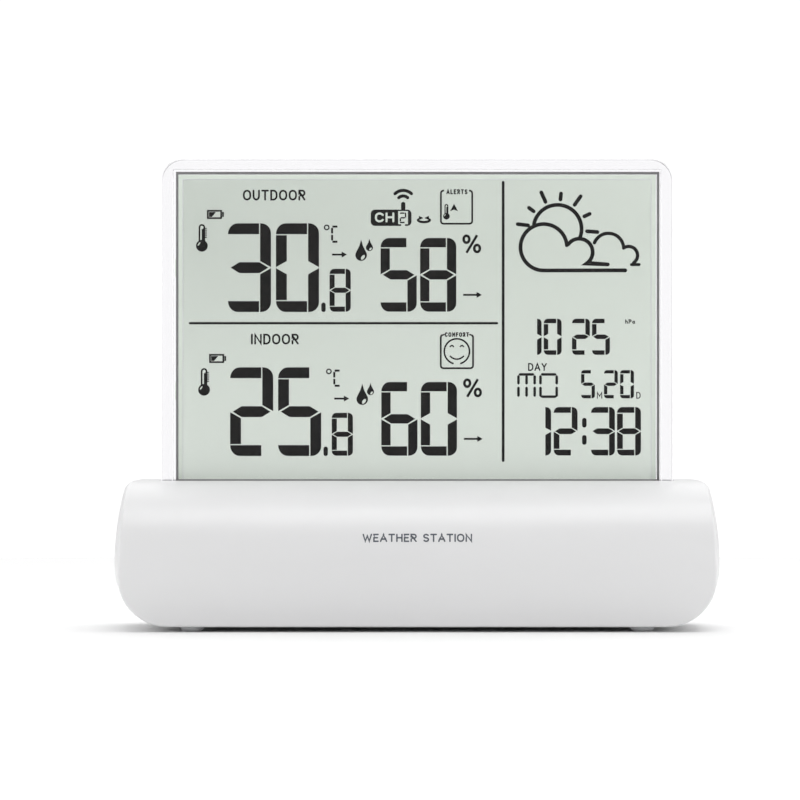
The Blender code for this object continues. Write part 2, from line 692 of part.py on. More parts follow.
# ------------------------------------------------------------------ electronics
def make_main_board():
    low, high = (-BOARD_HALF, BOARD_FRONT_Y, BOARD_Z[0]), (BOARD_HALF, BOARD_REAR_Y, BOARD_Z[1])
    board = box("main_board", low, high, "circuit_board")
    for side in (-1, 1):
        cut(board, screw_hole(f"board_hole_{side}", (side * POST_X, 0.0, POST_Z)))
    front = BOARD_FRONT_Y - FILM_GAP
    dome = [(6.5, 0.0), (6.2, 0.7), (5.0, 1.4), (3.0, 1.8), (1.0, 1.95)]
    turned("controller_blob", dome, (-12.0, front, 23.0), "-Y", "black_plastic", 20)
    can = [(0.9, 0.0), (1.0, 0.2), (1.0, 5.8), (0.9, 6.0)]
    turned("crystal", can, (0.0, front - 1.1, 26.0), "X", "steel", SMALL_CIRCLE_STEPS)
    buzzer = [(6.0, 0.0), (6.0, 6.2), (5.6, 6.6), (1.2, 6.6), (1.0, 5.2)]
    turned("buzzer", buzzer, (22.0, front, 21.0), "-Y", "black_plastic", 20)
    sensor = box("pressure_sensor", (5.0, front - 1.0, 9.0), (8.8, front, 12.6), "steel")
    cut(sensor, rod("pressure_port", 0.4, (6.0, front, 10.0), 2.0, "-Y", steps=10))
    module = box("receiver_board", (-42.0, front - 5.6, 25.0), (-24.0, front - 4.6, 37.0), "circuit_board")
    join(module, box("receiver_pins", (-40.0, front - 5.0, 25.8), (-26.0, front, 26.4)))
    antenna_route = [
        (-23.6, -13.2, 35.0),
        (-15.0, -13.2, 35.0),
        (-5.0, -14.0, 34.5),
        (6.0, -15.2, 33.2),
        (18.0, -15.8, 32.3),
        (32.0, -16.0, 31.8),
        (48.0, -15.8, 31.4),
        (64.0, -15.4, 31.0),
    ]
    wire("antenna_wire", antenna_route, 0.5, "wire_black", 24)


def make_wiring():
    """Battery wires and the flat cable from the key board, each bent round the panel clamp."""
    red = [
        (28.0, 18.0, 30.4),
        (31.0, 17.0, 30.2),
        (35.0, 12.0, 29.0),
        (37.0, 8.0, 23.0),
        (37.0, 4.0, 16.0),
        (36.0, -1.0, 12.5),
        (35.0, -6.0, 11.5),
    ]
    black = [
        (-28.0, 18.0, 9.0),
        (-31.0, 17.0, 9.0),
        (-35.0, 12.0, 9.4),
        (-36.0, 6.0, 10.0),
        (-35.0, 0.0, 10.5),
        (-34.0, -6.0, 11.0),
    ]
    wire("battery_wire_red", red, 0.6, "wire_red", 16)
    wire("battery_wire_black", black, 0.6, "wire_black", 12)
    bends = [(9.0, 36.7), (9.2, 33.0), (9.0, 26.0), (7.4, 19.5), (3.6, 15.0), (-1.0, 13.4), (-6.0, 13.0)]
    path = smooth_route([(0.0, y, z) for y, z in bends], 14)
    edges = {-1: [], 1: []}
    for here, point in enumerate(path):
        ahead = path[min(here + 1, len(path) - 1)] - path[max(here - 1, 0)]
        across = Vector((0.0, -ahead.z, ahead.y)).normalized() * 0.2
        for side, edge in edges.items():
            moved = point + side * across
            edge.append((moved.y, moved.z))
    prism("key_ribbon", edges[-1] + edges[1][::-1], "X", -52.0, -43.0, "ribbon")


def make_sensor_and_jack():
    """Climate sensor behind the vents, and the inlet for the mains adapter."""
    box("sensor_board", (-71.0, 19.0, 9.0), (-53.0, 20.0, 33.0), "circuit_board")
    sensor = box("climate_sensor", (-68.0, 20.1, 16.0), (-56.0, 23.6, 26.0), "white_key")
    for column in range(3):
        x = -65.2 + column * 3.2
        cut(sensor, box(f"sensor_slit_{column}", (x - 0.5, 22.6, 17.5), (x + 0.5, 25.0, 24.5)))
    low = (JACK_X - 4.5, 13.0, JACK_Z - 4.5)
    jack = box("dc_jack", low, (JACK_X + 4.5, INNER_REAR_Y - GAP, JACK_Z + 5.5), "black_plastic")
    join(jack, rod("jack_nose", JACK_NOSE_RADIUS, (JACK_X, INNER_REAR_Y - 2.0, JACK_Z), 4.0, "Y"))
    cut(jack, rod("jack_bore", JACK_BORE_RADIUS, (JACK_X, REAR_Y - 9.5, JACK_Z), 12.0, "Y"))
    pin = (JACK_X, REAR_Y - 11.0, JACK_Z)
    join(jack, rod("jack_pin", JACK_PIN_RADIUS, pin, 10.0, "Y", steps=SMALL_CIRCLE_STEPS))


# ------------------------------------------------------------------ batteries
def cell_heights():
    """Heights of the three cells' axes, from the top down."""
    middle = (BAY_Z[0] + BAY_Z[1]) / 2
    return [middle + CELL_PITCH, middle, middle - CELL_PITCH]


def make_cells():
    """Three cells, each turned the other way to its neighbour, and the contacts that join them."""
    nub = 0.9
    profile = [
        (1.6, 0.0),
        (1.9, 0.1),
        (1.9, nub),
        (CELL_RADIUS - 0.8, nub),
        (CELL_RADIUS, nub + 0.5),
        (CELL_RADIUS, CELL_LENGTH - 0.5),
        (CELL_RADIUS - 0.6, CELL_LENGTH),
    ]
    start = BAY_HALF - 2 * FILM_GAP - CONTACT_THICKNESS
    top, middle, bottom = cell_heights()
    turned("battery_cell_1", profile, (start, CELL_Y, top), "-X", "cell_label", 24)
    turned("battery_cell_2", profile, (-start, CELL_Y, middle), "X", "cell_label", 24)
    turned("battery_cell_3", profile, (start, CELL_Y, bottom), "-X", "cell_label", 24)
    make_contact("positive_contact", 1, [], [top])
    make_contact("left_bridge_contact", -1, [top], [middle])
    make_contact("right_bridge_contact", 1, [middle], [bottom])
    make_contact("negative_contact", -1, [bottom], [])


def make_contact(name, side, springs, plates):
    """Contact on one end wall of the bay: a flat strip with a coil spring where a cell's base sits."""
    outer = side * (BAY_HALF - FILM_GAP)
    inner = side * (BAY_HALF - FILM_GAP - CONTACT_THICKNESS)
    heights = springs + plates
    low = (min(outer, inner), CELL_Y - CONTACT_HALF, min(heights) - CONTACT_HALF)
    high = (max(outer, inner), CELL_Y + CONTACT_HALF, max(heights) + CONTACT_HALF)
    strip = box(name, low, high, "steel")
    for number, z in enumerate(springs):
        join(strip, make_coil(f"{name}_coil_{number}", inner, -side, z))
    return strip


def make_coil(name, start_x, direction, z):
    """Conical coil spring that grows from the contact strip towards the cell."""
    steps = int(COIL_TURNS * COIL_STEPS)
    points = []
    for step in range(steps + 1):
        share = step / steps
        angle = 2 * math.pi * COIL_TURNS * share
        radius = COIL_RADII[0] + (COIL_RADII[1] - COIL_RADII[0]) * share
        x = start_x + direction * COIL_LENGTH * share
        points.append(Vector((x, CELL_Y + radius * math.cos(angle), z + radius * math.sin(angle))))
    return tube(name, points, COIL_WIRE, sides=6)


def make_door():
    """Battery door: tilts out about its outer lower edge. Two tabs hook behind the wall below it."""
    pivot = (0.0, REAR_Y, DOOR_Z[0] - GAP)
    low = (-DOOR_HALF, REAR_Y - DOOR_THICKNESS, DOOR_Z[0])
    door = box("battery_door", low, (DOOR_HALF, REAR_Y, DOOR_Z[1]), "white_plastic", pivot)
    inner = INNER_REAR_Y - GAP
    for side in (-1, 1):
        x = side * 18.0
        root_low = (x - 3.0, inner - 1.1, DOOR_Z[0] + 0.2)
        join(door, box(f"tab_root_{side}", root_low, (x + 3.0, REAR_Y - 1.5, DOOR_Z[0] + 1.6)))
        tab_low = (x - 3.0, inner - 1.1, DOOR_Z[0] - 0.7)
        join(door, box(f"tab_{side}", tab_low, (x + 3.0, inner, DOOR_Z[0] + 1.0)))
    top = DOOR_Z[1]
    for side in (-1, 1):
        x = side * 6.4
        slit_low = (x - 0.4, REAR_Y - 3.0, top - 8.0)
        cut(door, box(f"latch_slit_{side}", slit_low, (x + 0.4, REAR_Y + 1.0, top + 1.0)))
    cut(door, rod("thumb_dent", 5.0, (-4.5, REAR_Y + 4.3, top - 4.0), 9.0, "X", steps=48))
    return door


# ------------------------------------------------------------------ keys
def make_keys():
    """Caps that press down on the domes of one rubber mat over the key board."""
    low, high = (-70.0, KEY_Y - 4.5, KEY_BOARD_Z[0]), (70.0, KEY_Y + 4.5, KEY_BOARD_Z[1])
    box("key_board", low, high, "circuit_board")
    mat = box("key_mat", (-65.5, KEY_Y - 4.2, MAT_Z[0]), (65.5, KEY_Y + 4.2, MAT_Z[1]), "rubber")
    for name, x in KEYS.items():
        for place in (-12.0, 12.0) if name == "light_bar" else (0.0,):
            dome = [(2.6, 0.0), (1.8, DOME_TOP - MAT_Z[1] + 0.2)]
            centre = (x + place, KEY_Y, MAT_Z[1] - 0.2)
            join(mat, turned(f"dome_{name}_{place:.0f}", dome, centre, "Z", steps=SMALL_CIRCLE_STEPS))
        cap_top = BASE_TOP + KEY_PROUD
        outline = key_outline(name, 0.0, 0.4)
        key = prism(name, outline, "Z", KEY_BOTTOM + 0.2, cap_top, "white_key", (x, KEY_Y, BASE_TOP))
        round_edges(key, 0.4, angle=60)
        flange = key_outline(name, 1.0, 1.0)
        join(key, prism(f"flange_{name}", flange, "Z", KEY_BOTTOM, KEY_BOTTOM + KEY_FLANGE))


def main():
    clear_scene()
    make_front_shell()
    make_rear_shell()
    make_feet()
    make_screws()
    make_display()
    make_clamp()
    make_main_board()
    make_wiring()
    make_sensor_and_jack()
    make_cells()
    make_door()
    make_keys()


main()
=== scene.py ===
"""Looks for the desktop weather station: materials, display, moulded and printed details, light and camera.

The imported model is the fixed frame. Every visible solid gets a finished skin that rides on its body,
and the display's digits, words and symbols are thin pieces between the two glasses. Sizes below are
in millimetres, and mm() turns them into Blender's metres.
"""

import json
import math

import bmesh
import bpy
from mathutils import Matrix, Vector
from mathutils.bvhtree import BVHTree

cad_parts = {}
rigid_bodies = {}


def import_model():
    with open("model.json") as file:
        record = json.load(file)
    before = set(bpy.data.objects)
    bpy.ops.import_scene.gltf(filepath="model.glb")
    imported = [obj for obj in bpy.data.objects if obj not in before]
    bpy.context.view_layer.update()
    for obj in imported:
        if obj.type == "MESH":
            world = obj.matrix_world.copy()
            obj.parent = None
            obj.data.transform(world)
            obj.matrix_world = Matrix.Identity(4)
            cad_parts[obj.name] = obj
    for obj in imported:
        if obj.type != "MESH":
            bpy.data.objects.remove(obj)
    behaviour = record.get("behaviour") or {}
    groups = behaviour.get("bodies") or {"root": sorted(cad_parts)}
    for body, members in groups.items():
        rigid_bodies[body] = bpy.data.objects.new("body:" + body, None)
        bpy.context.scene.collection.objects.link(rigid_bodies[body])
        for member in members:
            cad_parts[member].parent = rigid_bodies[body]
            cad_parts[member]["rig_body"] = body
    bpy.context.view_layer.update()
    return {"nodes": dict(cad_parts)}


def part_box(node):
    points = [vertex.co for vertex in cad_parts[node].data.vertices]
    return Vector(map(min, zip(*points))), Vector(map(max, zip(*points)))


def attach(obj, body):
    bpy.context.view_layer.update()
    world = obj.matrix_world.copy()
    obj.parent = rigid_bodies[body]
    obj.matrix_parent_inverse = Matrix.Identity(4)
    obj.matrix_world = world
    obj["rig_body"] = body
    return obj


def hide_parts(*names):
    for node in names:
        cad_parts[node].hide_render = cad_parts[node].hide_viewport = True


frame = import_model()

STATION = "station"
SMOOTH_ANGLE = math.radians(35)


def mm(value):
    """Millimetres as Blender's metres."""
    return value * 0.001


# ------------------------------------------------------------------ colours
WHITE = (0.765, 0.765, 0.77)
KEY_WHITE = (0.74, 0.75, 0.77)
BLACK = (0.03, 0.03, 0.032)
ACRYLIC_TINT = (0.995, 0.992, 1.0)
# Display plate colours with painted light and shade: darker at the upper left, lighter at the upper right,
# and lightest at the bottom, where they lift the shade that the front shell casts.
PLATE_PAINTED_SHADE_LEFT = (0.434, 0.481, 0.424)
PLATE_PAINTED_SHADE_RIGHT = (0.527, 0.581, 0.512)
PLATE_PAINTED_LIGHT_LOW = (0.651, 0.710, 0.639)
PLATE_GRAIN = (0.36, 0.40, 0.35)
# Painted glow on the display plate: it lifts the plate and evens out its shade.
PLATE_PAINTED_GLOW = (1.0, 1.07, 1.0, 1.0)
PLATE_PAINTED_GLOW_STRENGTH = 0.24
SEGMENT_COLOUR = (0.006, 0.005, 0.005)
SLEEVE_DARK = (0.05, 0.06, 0.09)
SLEEVE_COPPER = (0.55, 0.27, 0.12)
SLEEVE_BAND_START = 0.68


# ------------------------------------------------------------------ materials
class Look:
    """A material's node tree, with short calls for what these finishes share."""

    def __init__(self, name, colour, roughness, **inputs):
        self.material = bpy.data.materials.new(name)
        self.material.use_nodes = True
        self.nodes = self.material.node_tree.nodes
        self.links = self.material.node_tree.links
        self.shader = self.nodes["Principled BSDF"]
        self.output = self.nodes["Material Output"]
        self.shader.inputs["Base Color"].default_value = (*colour, 1.0)
        self.shader.inputs["Roughness"].default_value = roughness
        for key, value in inputs.items():
            self.shader.inputs[key.replace("_", " ")].default_value = value

    def place(self, stretch=(1.0, 1.0, 1.0)):
        """The surface's own coordinates in metres, stretched along the axes."""
        where = self.nodes.new("ShaderNodeTexCoord")
        change = self.nodes.new("ShaderNodeMapping")
        change.inputs["Scale"].default_value = stretch
        self.links.new(where.outputs["Object"], change.inputs["Vector"])
        return change.outputs["Vector"]

    def noise(self, grains_per_metre, detail=3.0, stretch=(1.0, 1.0, 1.0)):
        made = self.nodes.new("ShaderNodeTexNoise")
        made.inputs["Scale"].default_value = grains_per_metre
        made.inputs["Detail"].default_value = detail
        self.links.new(self.place(stretch), made.inputs["Vector"])
        return made.outputs["Fac"]

    def cells(self, per_metre, spread=1.0, stretch=(1.0, 1.0, 1.0)):
        """Distance to the nearest of scattered points; no spread puts the points on a grid."""
        made = self.nodes.new("ShaderNodeTexVoronoi")
        made.inputs["Scale"].default_value = per_metre
        made.inputs["Randomness"].default_value = spread
        self.links.new(self.place(stretch), made.inputs["Vector"])
        return made.outputs["Distance"]

    def along(self, axis):
        """The coordinate along one axis, in metres."""
        split = self.nodes.new("ShaderNodeSeparateXYZ")
        self.links.new(self.place(), split.inputs["Vector"])
        return split.outputs[axis]

    def graded(self, source, low, high, low_out=0.0, high_out=1.0):
        """Maps low..high of a source to a new range, and holds it there outside."""
        made = self.nodes.new("ShaderNodeMapRange")
        for key, value in zip(("From Min", "From Max", "To Min", "To Max"), (low, high, low_out, high_out)):
            made.inputs[key].default_value = value
        self.links.new(source, made.inputs["Value"])
        return made.outputs["Result"]

    def mixed(self, share, first, second):
        """A colour between two colours. Each may also be another node's output."""
        made = self.nodes.new("ShaderNodeMix")
        made.data_type = "RGBA"
        colours = [socket for socket in made.inputs if socket.type == "RGBA"]
        self.links.new(share, made.inputs["Factor"])
        for socket, colour in zip(colours, (first, second)):
            if isinstance(colour, tuple):
                socket.default_value = (*colour, 1.0)
            else:
                self.links.new(colour, socket)
        return next(socket for socket in made.outputs if socket.type == "RGBA")

    def colour_from(self, source):
        self.links.new(source, self.shader.inputs["Base Color"])

    def roughness_from(self, source, low, high):
        self.links.new(self.graded(source, 0.3, 0.7, low, high), self.shader.inputs["Roughness"])

    def relief(self, source, depth):
        """Raises the surface by depth (mm) times the source."""
        made = self.nodes.new("ShaderNodeBump")
        made.inputs["Strength"].default_value = 1.0
        made.inputs["Distance"].default_value = mm(depth)
        self.links.new(source, made.inputs["Height"])
        self.links.new(made.outputs["Normal"], self.shader.inputs["Normal"])

    def lets_light_through(self, tint):
        """Rays from lamps and from matt surfaces pass straight through, so that what lies behind is lit."""
        path = self.nodes.new("ShaderNodeLightPath")
        either = self.nodes.new("ShaderNodeMath")
        either.operation = "MAXIMUM"
        self.links.new(path.outputs["Is Shadow Ray"], either.inputs[0])
        self.links.new(path.outputs["Is Diffuse Ray"], either.inputs[1])
        clear = self.nodes.new("ShaderNodeBsdfTransparent")
        clear.inputs["Color"].default_value = (*tint, 1.0)
        mix = self.nodes.new("ShaderNodeMixShader")
        self.links.new(either.outputs["Value"], mix.inputs["Fac"])
        self.links.new(self.shader.outputs["BSDF"], mix.inputs[1])
        self.links.new(clear.outputs["BSDF"], mix.inputs[2])
        self.links.new(mix.outputs["Shader"], self.output.inputs["Surface"])


def moulded(name, colour, roughness, grain=0.003):
    """Moulded plastic: faint flow marks in the colour, a fine grain, and gloss that varies a little."""
    look = Look(name, colour, roughness, IOR=1.5)
    flow = look.noise(45.0, 2.0, (0.4, 1.0, 1.0))
    shade = tuple(channel * 0.985 for channel in colour)
    look.colour_from(look.mixed(look.graded(flow, 0.35, 0.65), shade, colour))
    look.roughness_from(look.noise(260.0), roughness - 0.03, roughness + 0.04)
    look.relief(look.noise(2600.0, 2.0), grain)
    return look.material


def clear_acrylic(name, tint):
    """Polished clear plastic with a trace of waviness."""
    look = Look(name, tint, 0.0, IOR=1.49, Transmission_Weight=1.0)
    look.relief(look.noise(35.0, 1.0), 0.004)
    look.lets_light_through(tint)
    return look.material


def thin_glass(name, tint, alpha):
    """Layer that is bonded behind the window: nearly all of it shows what is behind."""
    look = Look(name, tint, 0.6, IOR=1.0, Alpha=alpha)
    haze = look.noise(90.0, 2.0)
    look.colour_from(look.mixed(haze, tint, tuple(channel * 0.96 for channel in tint)))
    return look.material


def display_plate(name):
    """The display's grey-green ground, fine-grained, with painted light: a painted glow lifts it and evens
    out its shade, and painted shade makes it darker at the upper left, lighter to the right and lightest at
    the bottom.
    """
    # Painted glow: emission that lifts the plate and evens out its shade.
    glow = {"Emission_Color": PLATE_PAINTED_GLOW, "Emission_Strength": PLATE_PAINTED_GLOW_STRENGTH}
    look = Look(name, PLATE_PAINTED_LIGHT_LOW, 0.55, IOR=1.3, **glow)
    low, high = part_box("rear_polariser")
    # Painted shade across and down the plate: darker to the upper left, lighter to the right and at the
    # bottom.
    across = look.mixed(look.graded(look.along("X"), low.x, high.x), PLATE_PAINTED_SHADE_LEFT, PLATE_PAINTED_SHADE_RIGHT)
    start = high.z - 0.2 * (high.z - low.z)
    down = look.graded(look.along("Z"), start, low.z)
    ground = look.mixed(down, across, PLATE_PAINTED_LIGHT_LOW)
    grain = look.graded(look.noise(1500.0, 2.0), 0.35, 0.65, 0.0, 0.06)
    look.colour_from(look.mixed(grain, ground, PLATE_GRAIN))
    look.relief(look.noise(900.0, 2.0), 0.004)
    return look.material


def display_ink(name):
    """Switched-on liquid crystal: a warm near-black."""
    look = Look(name, SEGMENT_COLOUR, 0.6, IOR=1.12)
    shade = tuple(channel * 1.5 for channel in SEGMENT_COLOUR)
    look.colour_from(look.mixed(look.graded(look.noise(300.0), 0.3, 0.7), SEGMENT_COLOUR, shade))
    return look.material


def metal(name, colour, roughness, stretch):
    """Plated metal with fine marks along one direction."""
    look = Look(name, colour, roughness, Metallic=1.0)
    marks = look.noise(1800.0, 3.0, stretch)
    shade = tuple(channel * 0.86 for channel in colour)
    look.colour_from(look.mixed(marks, shade, colour))
    look.roughness_from(marks, roughness - 0.08, roughness + 0.1)
    look.relief(marks, 0.004)
    return look.material


def rubber(name, colour, roughness):
    """Rubber or cured sealant, with a pale bloom and a matt grain."""
    look = Look(name, colour, roughness, IOR=1.45)
    bloom = look.noise(400.0, 4.0)
    look.colour_from(look.mixed(bloom, colour, tuple(min(channel * 1.12, 1.0) for channel in colour)))
    look.relief(look.noise(3000.0, 2.0), 0.006)
    return look.material


def solder_mask(name):
    """Green board with darker copper tracks that show through the mask."""
    look = Look(name, (0.03, 0.2, 0.08), 0.35, IOR=1.5)
    tracks = look.cells(230.0, 0.0, (1.0, 1.0, 0.35))
    lines = look.graded(tracks, 0.34, 0.38)
    look.colour_from(look.mixed(lines, (0.03, 0.24, 0.10), (0.02, 0.13, 0.05)))
    look.relief(lines, 0.02)
    return look.material


def light_guide_look(name):
    """Frosted sheet with the printed dots that throw the backlight forward."""
    look = Look(name, (0.86, 0.88, 0.88), 0.45, IOR=1.49)
    dots = look.graded(look.cells(620.0, 0.0), 0.22, 0.3)
    look.colour_from(look.mixed(dots, (0.95, 0.96, 0.96), (0.78, 0.80, 0.81)))
    look.relief(dots, 0.01)
    return look.material


def cell_sleeve(name):
    """Dark cell sleeve with a copper-coloured band towards one end."""
    look = Look(name, SLEEVE_DARK, 0.28, IOR=1.5)
    low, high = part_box("battery_cell_2")
    start = low.x + (high.x - low.x) * SLEEVE_BAND_START
    band = look.graded(look.along("X"), start, start + mm(0.4))
    look.colour_from(look.mixed(band, SLEEVE_DARK, SLEEVE_COPPER))
    look.roughness_from(look.noise(500.0), 0.22, 0.34)
    return look.material


def ribbon_look(name):
    """Flat cable: grey with a line between its wires."""
    look = Look(name, (0.5, 0.51, 0.55), 0.5, IOR=1.5)
    wave = look.nodes.new("ShaderNodeTexWave")
    wave.inputs["Scale"].default_value = 320.0
    look.links.new(look.place(), wave.inputs["Vector"])
    look.colour_from(look.mixed(wave.outputs["Fac"], (0.42, 0.43, 0.47), (0.62, 0.63, 0.67)))
    look.relief(wave.outputs["Fac"], 0.05)
    return look.material


LOOKS = {
    "white_plastic": moulded("white_abs", WHITE, 0.33),
    "white_key": moulded("key_cap_white", KEY_WHITE, 0.42, 0.005),
    "clear_plastic": clear_acrylic("clear_acrylic", ACRYLIC_TINT),
    "display_glass": thin_glass("display_glass", (0.03, 0.04, 0.03), 0.01),
    "display_film": display_plate("display_plate"),
    "seal": rubber("cured_seal", (0.70, 0.77, 0.68), 0.5),
    "rubber": rubber("silicone_rubber", (0.66, 0.67, 0.68), 0.55),
    "black_plastic": moulded("black_plastic", BLACK, 0.4),
    "circuit_board": solder_mask("solder_mask"),
    "steel": metal("plated_steel", (0.72, 0.72, 0.73), 0.26, (1.0, 1.0, 0.15)),
    "cell_label": cell_sleeve("cell_sleeve"),
    "wire_red": moulded("red_wire_cover", (0.5, 0.03, 0.02), 0.45),
    "wire_black": moulded("black_wire_cover", (0.02, 0.02, 0.02), 0.45),
    "ribbon": ribbon_look("flat_cable"),
}
FRONT_FILM = thin_glass("front_film", (0.03, 0.035, 0.03), 0.02)
LIGHT_GUIDE = light_guide_look("light_guide_dots")
DISPLAY_INK = display_ink("display_ink")
PRINT_GREY = moulded("print_grey", (0.09, 0.10, 0.12), 0.5)
# Dark matt rubber: the foam gasket's own colour, and a painted shadow on the strip along the panel's slot.
DARK_FOAM_AND_PAINTED_SHADE = rubber("dark_foam_and_painted_shade", (0.17, 0.17, 0.17), 0.6)

# ------------------------------------------------------------------ skins
NODES_BY_SLOT = {
    "white_plastic": ["front_shell", "rear_shell", "panel_clamp", "battery_door"],
    "white_key": ["light_bar", "set_key", "alert_key", "channel_key", "memory_key", "minus_key", "plus_key"],
    "clear_plastic": ["front_window", "clear_tray", "light_guide"],
    "display_glass": ["lcd_front_glass", "lcd_rear_glass"],
    "display_film": ["front_polariser", "rear_polariser"],
    "seal": ["lcd_seal", "end_seal_upper", "end_seal_lower"],
    "rubber": [
        "foot_front_left",
        "foot_front_right",
        "foot_rear_left",
        "foot_rear_right",
        "key_mat",
        "zebra_strip",
    ],
    "black_plastic": ["controller_blob", "buzzer", "dc_jack"],
    "circuit_board": ["main_board", "receiver_board", "sensor_board", "key_board", "backlight_board"],
    "steel": [
        "housing_screw_lower_left",
        "housing_screw_lower_right",
        "housing_screw_upper_left",
        "housing_screw_upper_right",
        "clamp_screw_left",
        "clamp_screw_right",
        "crystal",
        "pressure_sensor",
        "positive_contact",
        "negative_contact",
        "left_bridge_contact",
        "right_bridge_contact",
    ],
    "cell_label": ["battery_cell_1", "battery_cell_2", "battery_cell_3"],
    "wire_red": ["battery_wire_red"],
    "wire_black": ["battery_wire_black", "antenna_wire"],
    "ribbon": ["key_ribbon"],
}
SMALL_PALE_PARTS = ["backlight_led_1", "backlight_led_2", "backlight_led_3", "climate_sensor"]
OWN_LOOKS = {"front_polariser": FRONT_FILM, "light_guide": LIGHT_GUIDE}
CLEAR_SLOTS = ("clear_plastic", "display_glass", "display_film")
EDGE_WIDTHS = {
    "front_shell": 0.25,
    "rear_shell": 0.25,
    "battery_door": 0.25,
    "panel_clamp": 0.2,
    "front_window": 0.35,
    "clear_tray": 0.35,
}
EASED_ANGLE = math.radians(50)
LARGE_FACE = 2.0e-4  # square metres
WELD_DISTANCE = 0.002
FLAT_ANGLE = math.radians(0.2)


def put_in_scene(name, mesh, body, slot):
    """Makes a piece of a mesh that lies in the frame's coordinates, and lets it ride on a body."""
    piece = bpy.data.objects.new(name, mesh)
    bpy.context.scene.collection.objects.link(piece)
    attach(piece, body)
    return piece


def clean_copy(node):
    """The node's solid as one welded mesh, with flat faces whole and normals of its own."""
    mesh = frame["nodes"][node].data.copy()
    mesh.name = f"{node}_skin"
    if "custom_normal" in mesh.attributes:
        mesh.attributes.remove(mesh.attributes["custom_normal"])
    bm = bmesh.new()
    bm.from_mesh(mesh)
    bmesh.ops.remove_doubles(bm, verts=bm.verts, dist=mm(WELD_DISTANCE))
    bmesh.ops.dissolve_limit(bm, angle_limit=FLAT_ANGLE, verts=bm.verts, edges=bm.edges)
    bm.to_mesh(mesh)
    bm.free()
    mesh.materials.clear()
    mesh.shade_smooth()
    mesh.set_sharp_from_angle(angle=SMOOTH_ANGLE)
    return mesh


def keep_flats(mesh):
    """Makes the rims of large flat faces sharp, so that a clear plate doesn't act as a lens."""
    faces = [face for face in mesh.polygons if face.area > LARGE_FACE]
    rims = {key for face in faces for key in face.edge_keys}
    for edge in mesh.edges:
        if edge.key in rims:
            edge.use_edge_sharp = True


def make_skin(node, look, slot):
    """A finished piece that stands for a CAD node: same shape, smooth where it is round, edges eased."""
    mesh = clean_copy(node)
    if slot in CLEAR_SLOTS:
        keep_flats(mesh)
    mesh.materials.append(look)
    piece = put_in_scene(f"{node}_skin", mesh, frame["nodes"][node]["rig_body"], slot)
    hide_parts(node)
    if node in EDGE_WIDTHS:
        ease = piece.modifiers.new("eased edges", "BEVEL")
        ease.width = mm(EDGE_WIDTHS[node])
        ease.segments = 2
        ease.limit_method = "ANGLE"
        ease.angle_limit = EASED_ANGLE
        ease.harden_normals = True
    return piece


def make_skins():
    for slot, nodes in NODES_BY_SLOT.items():
        for node in nodes:
            skin = make_skin(node, OWN_LOOKS.get(node, LOOKS[slot]), slot)
            if slot == "seal":
                skin.visible_shadow = False
                skin.visible_diffuse = False
    for node in SMALL_PALE_PARTS:
        make_skin(node, LOOKS["white_key"], "white_key")


# ------------------------------------------------------------------ flat artwork
# Least cosine of half a corner's turn, so that a line's sharp corner doesn't grow a long tip.
MITRE_LIMIT = 0.4


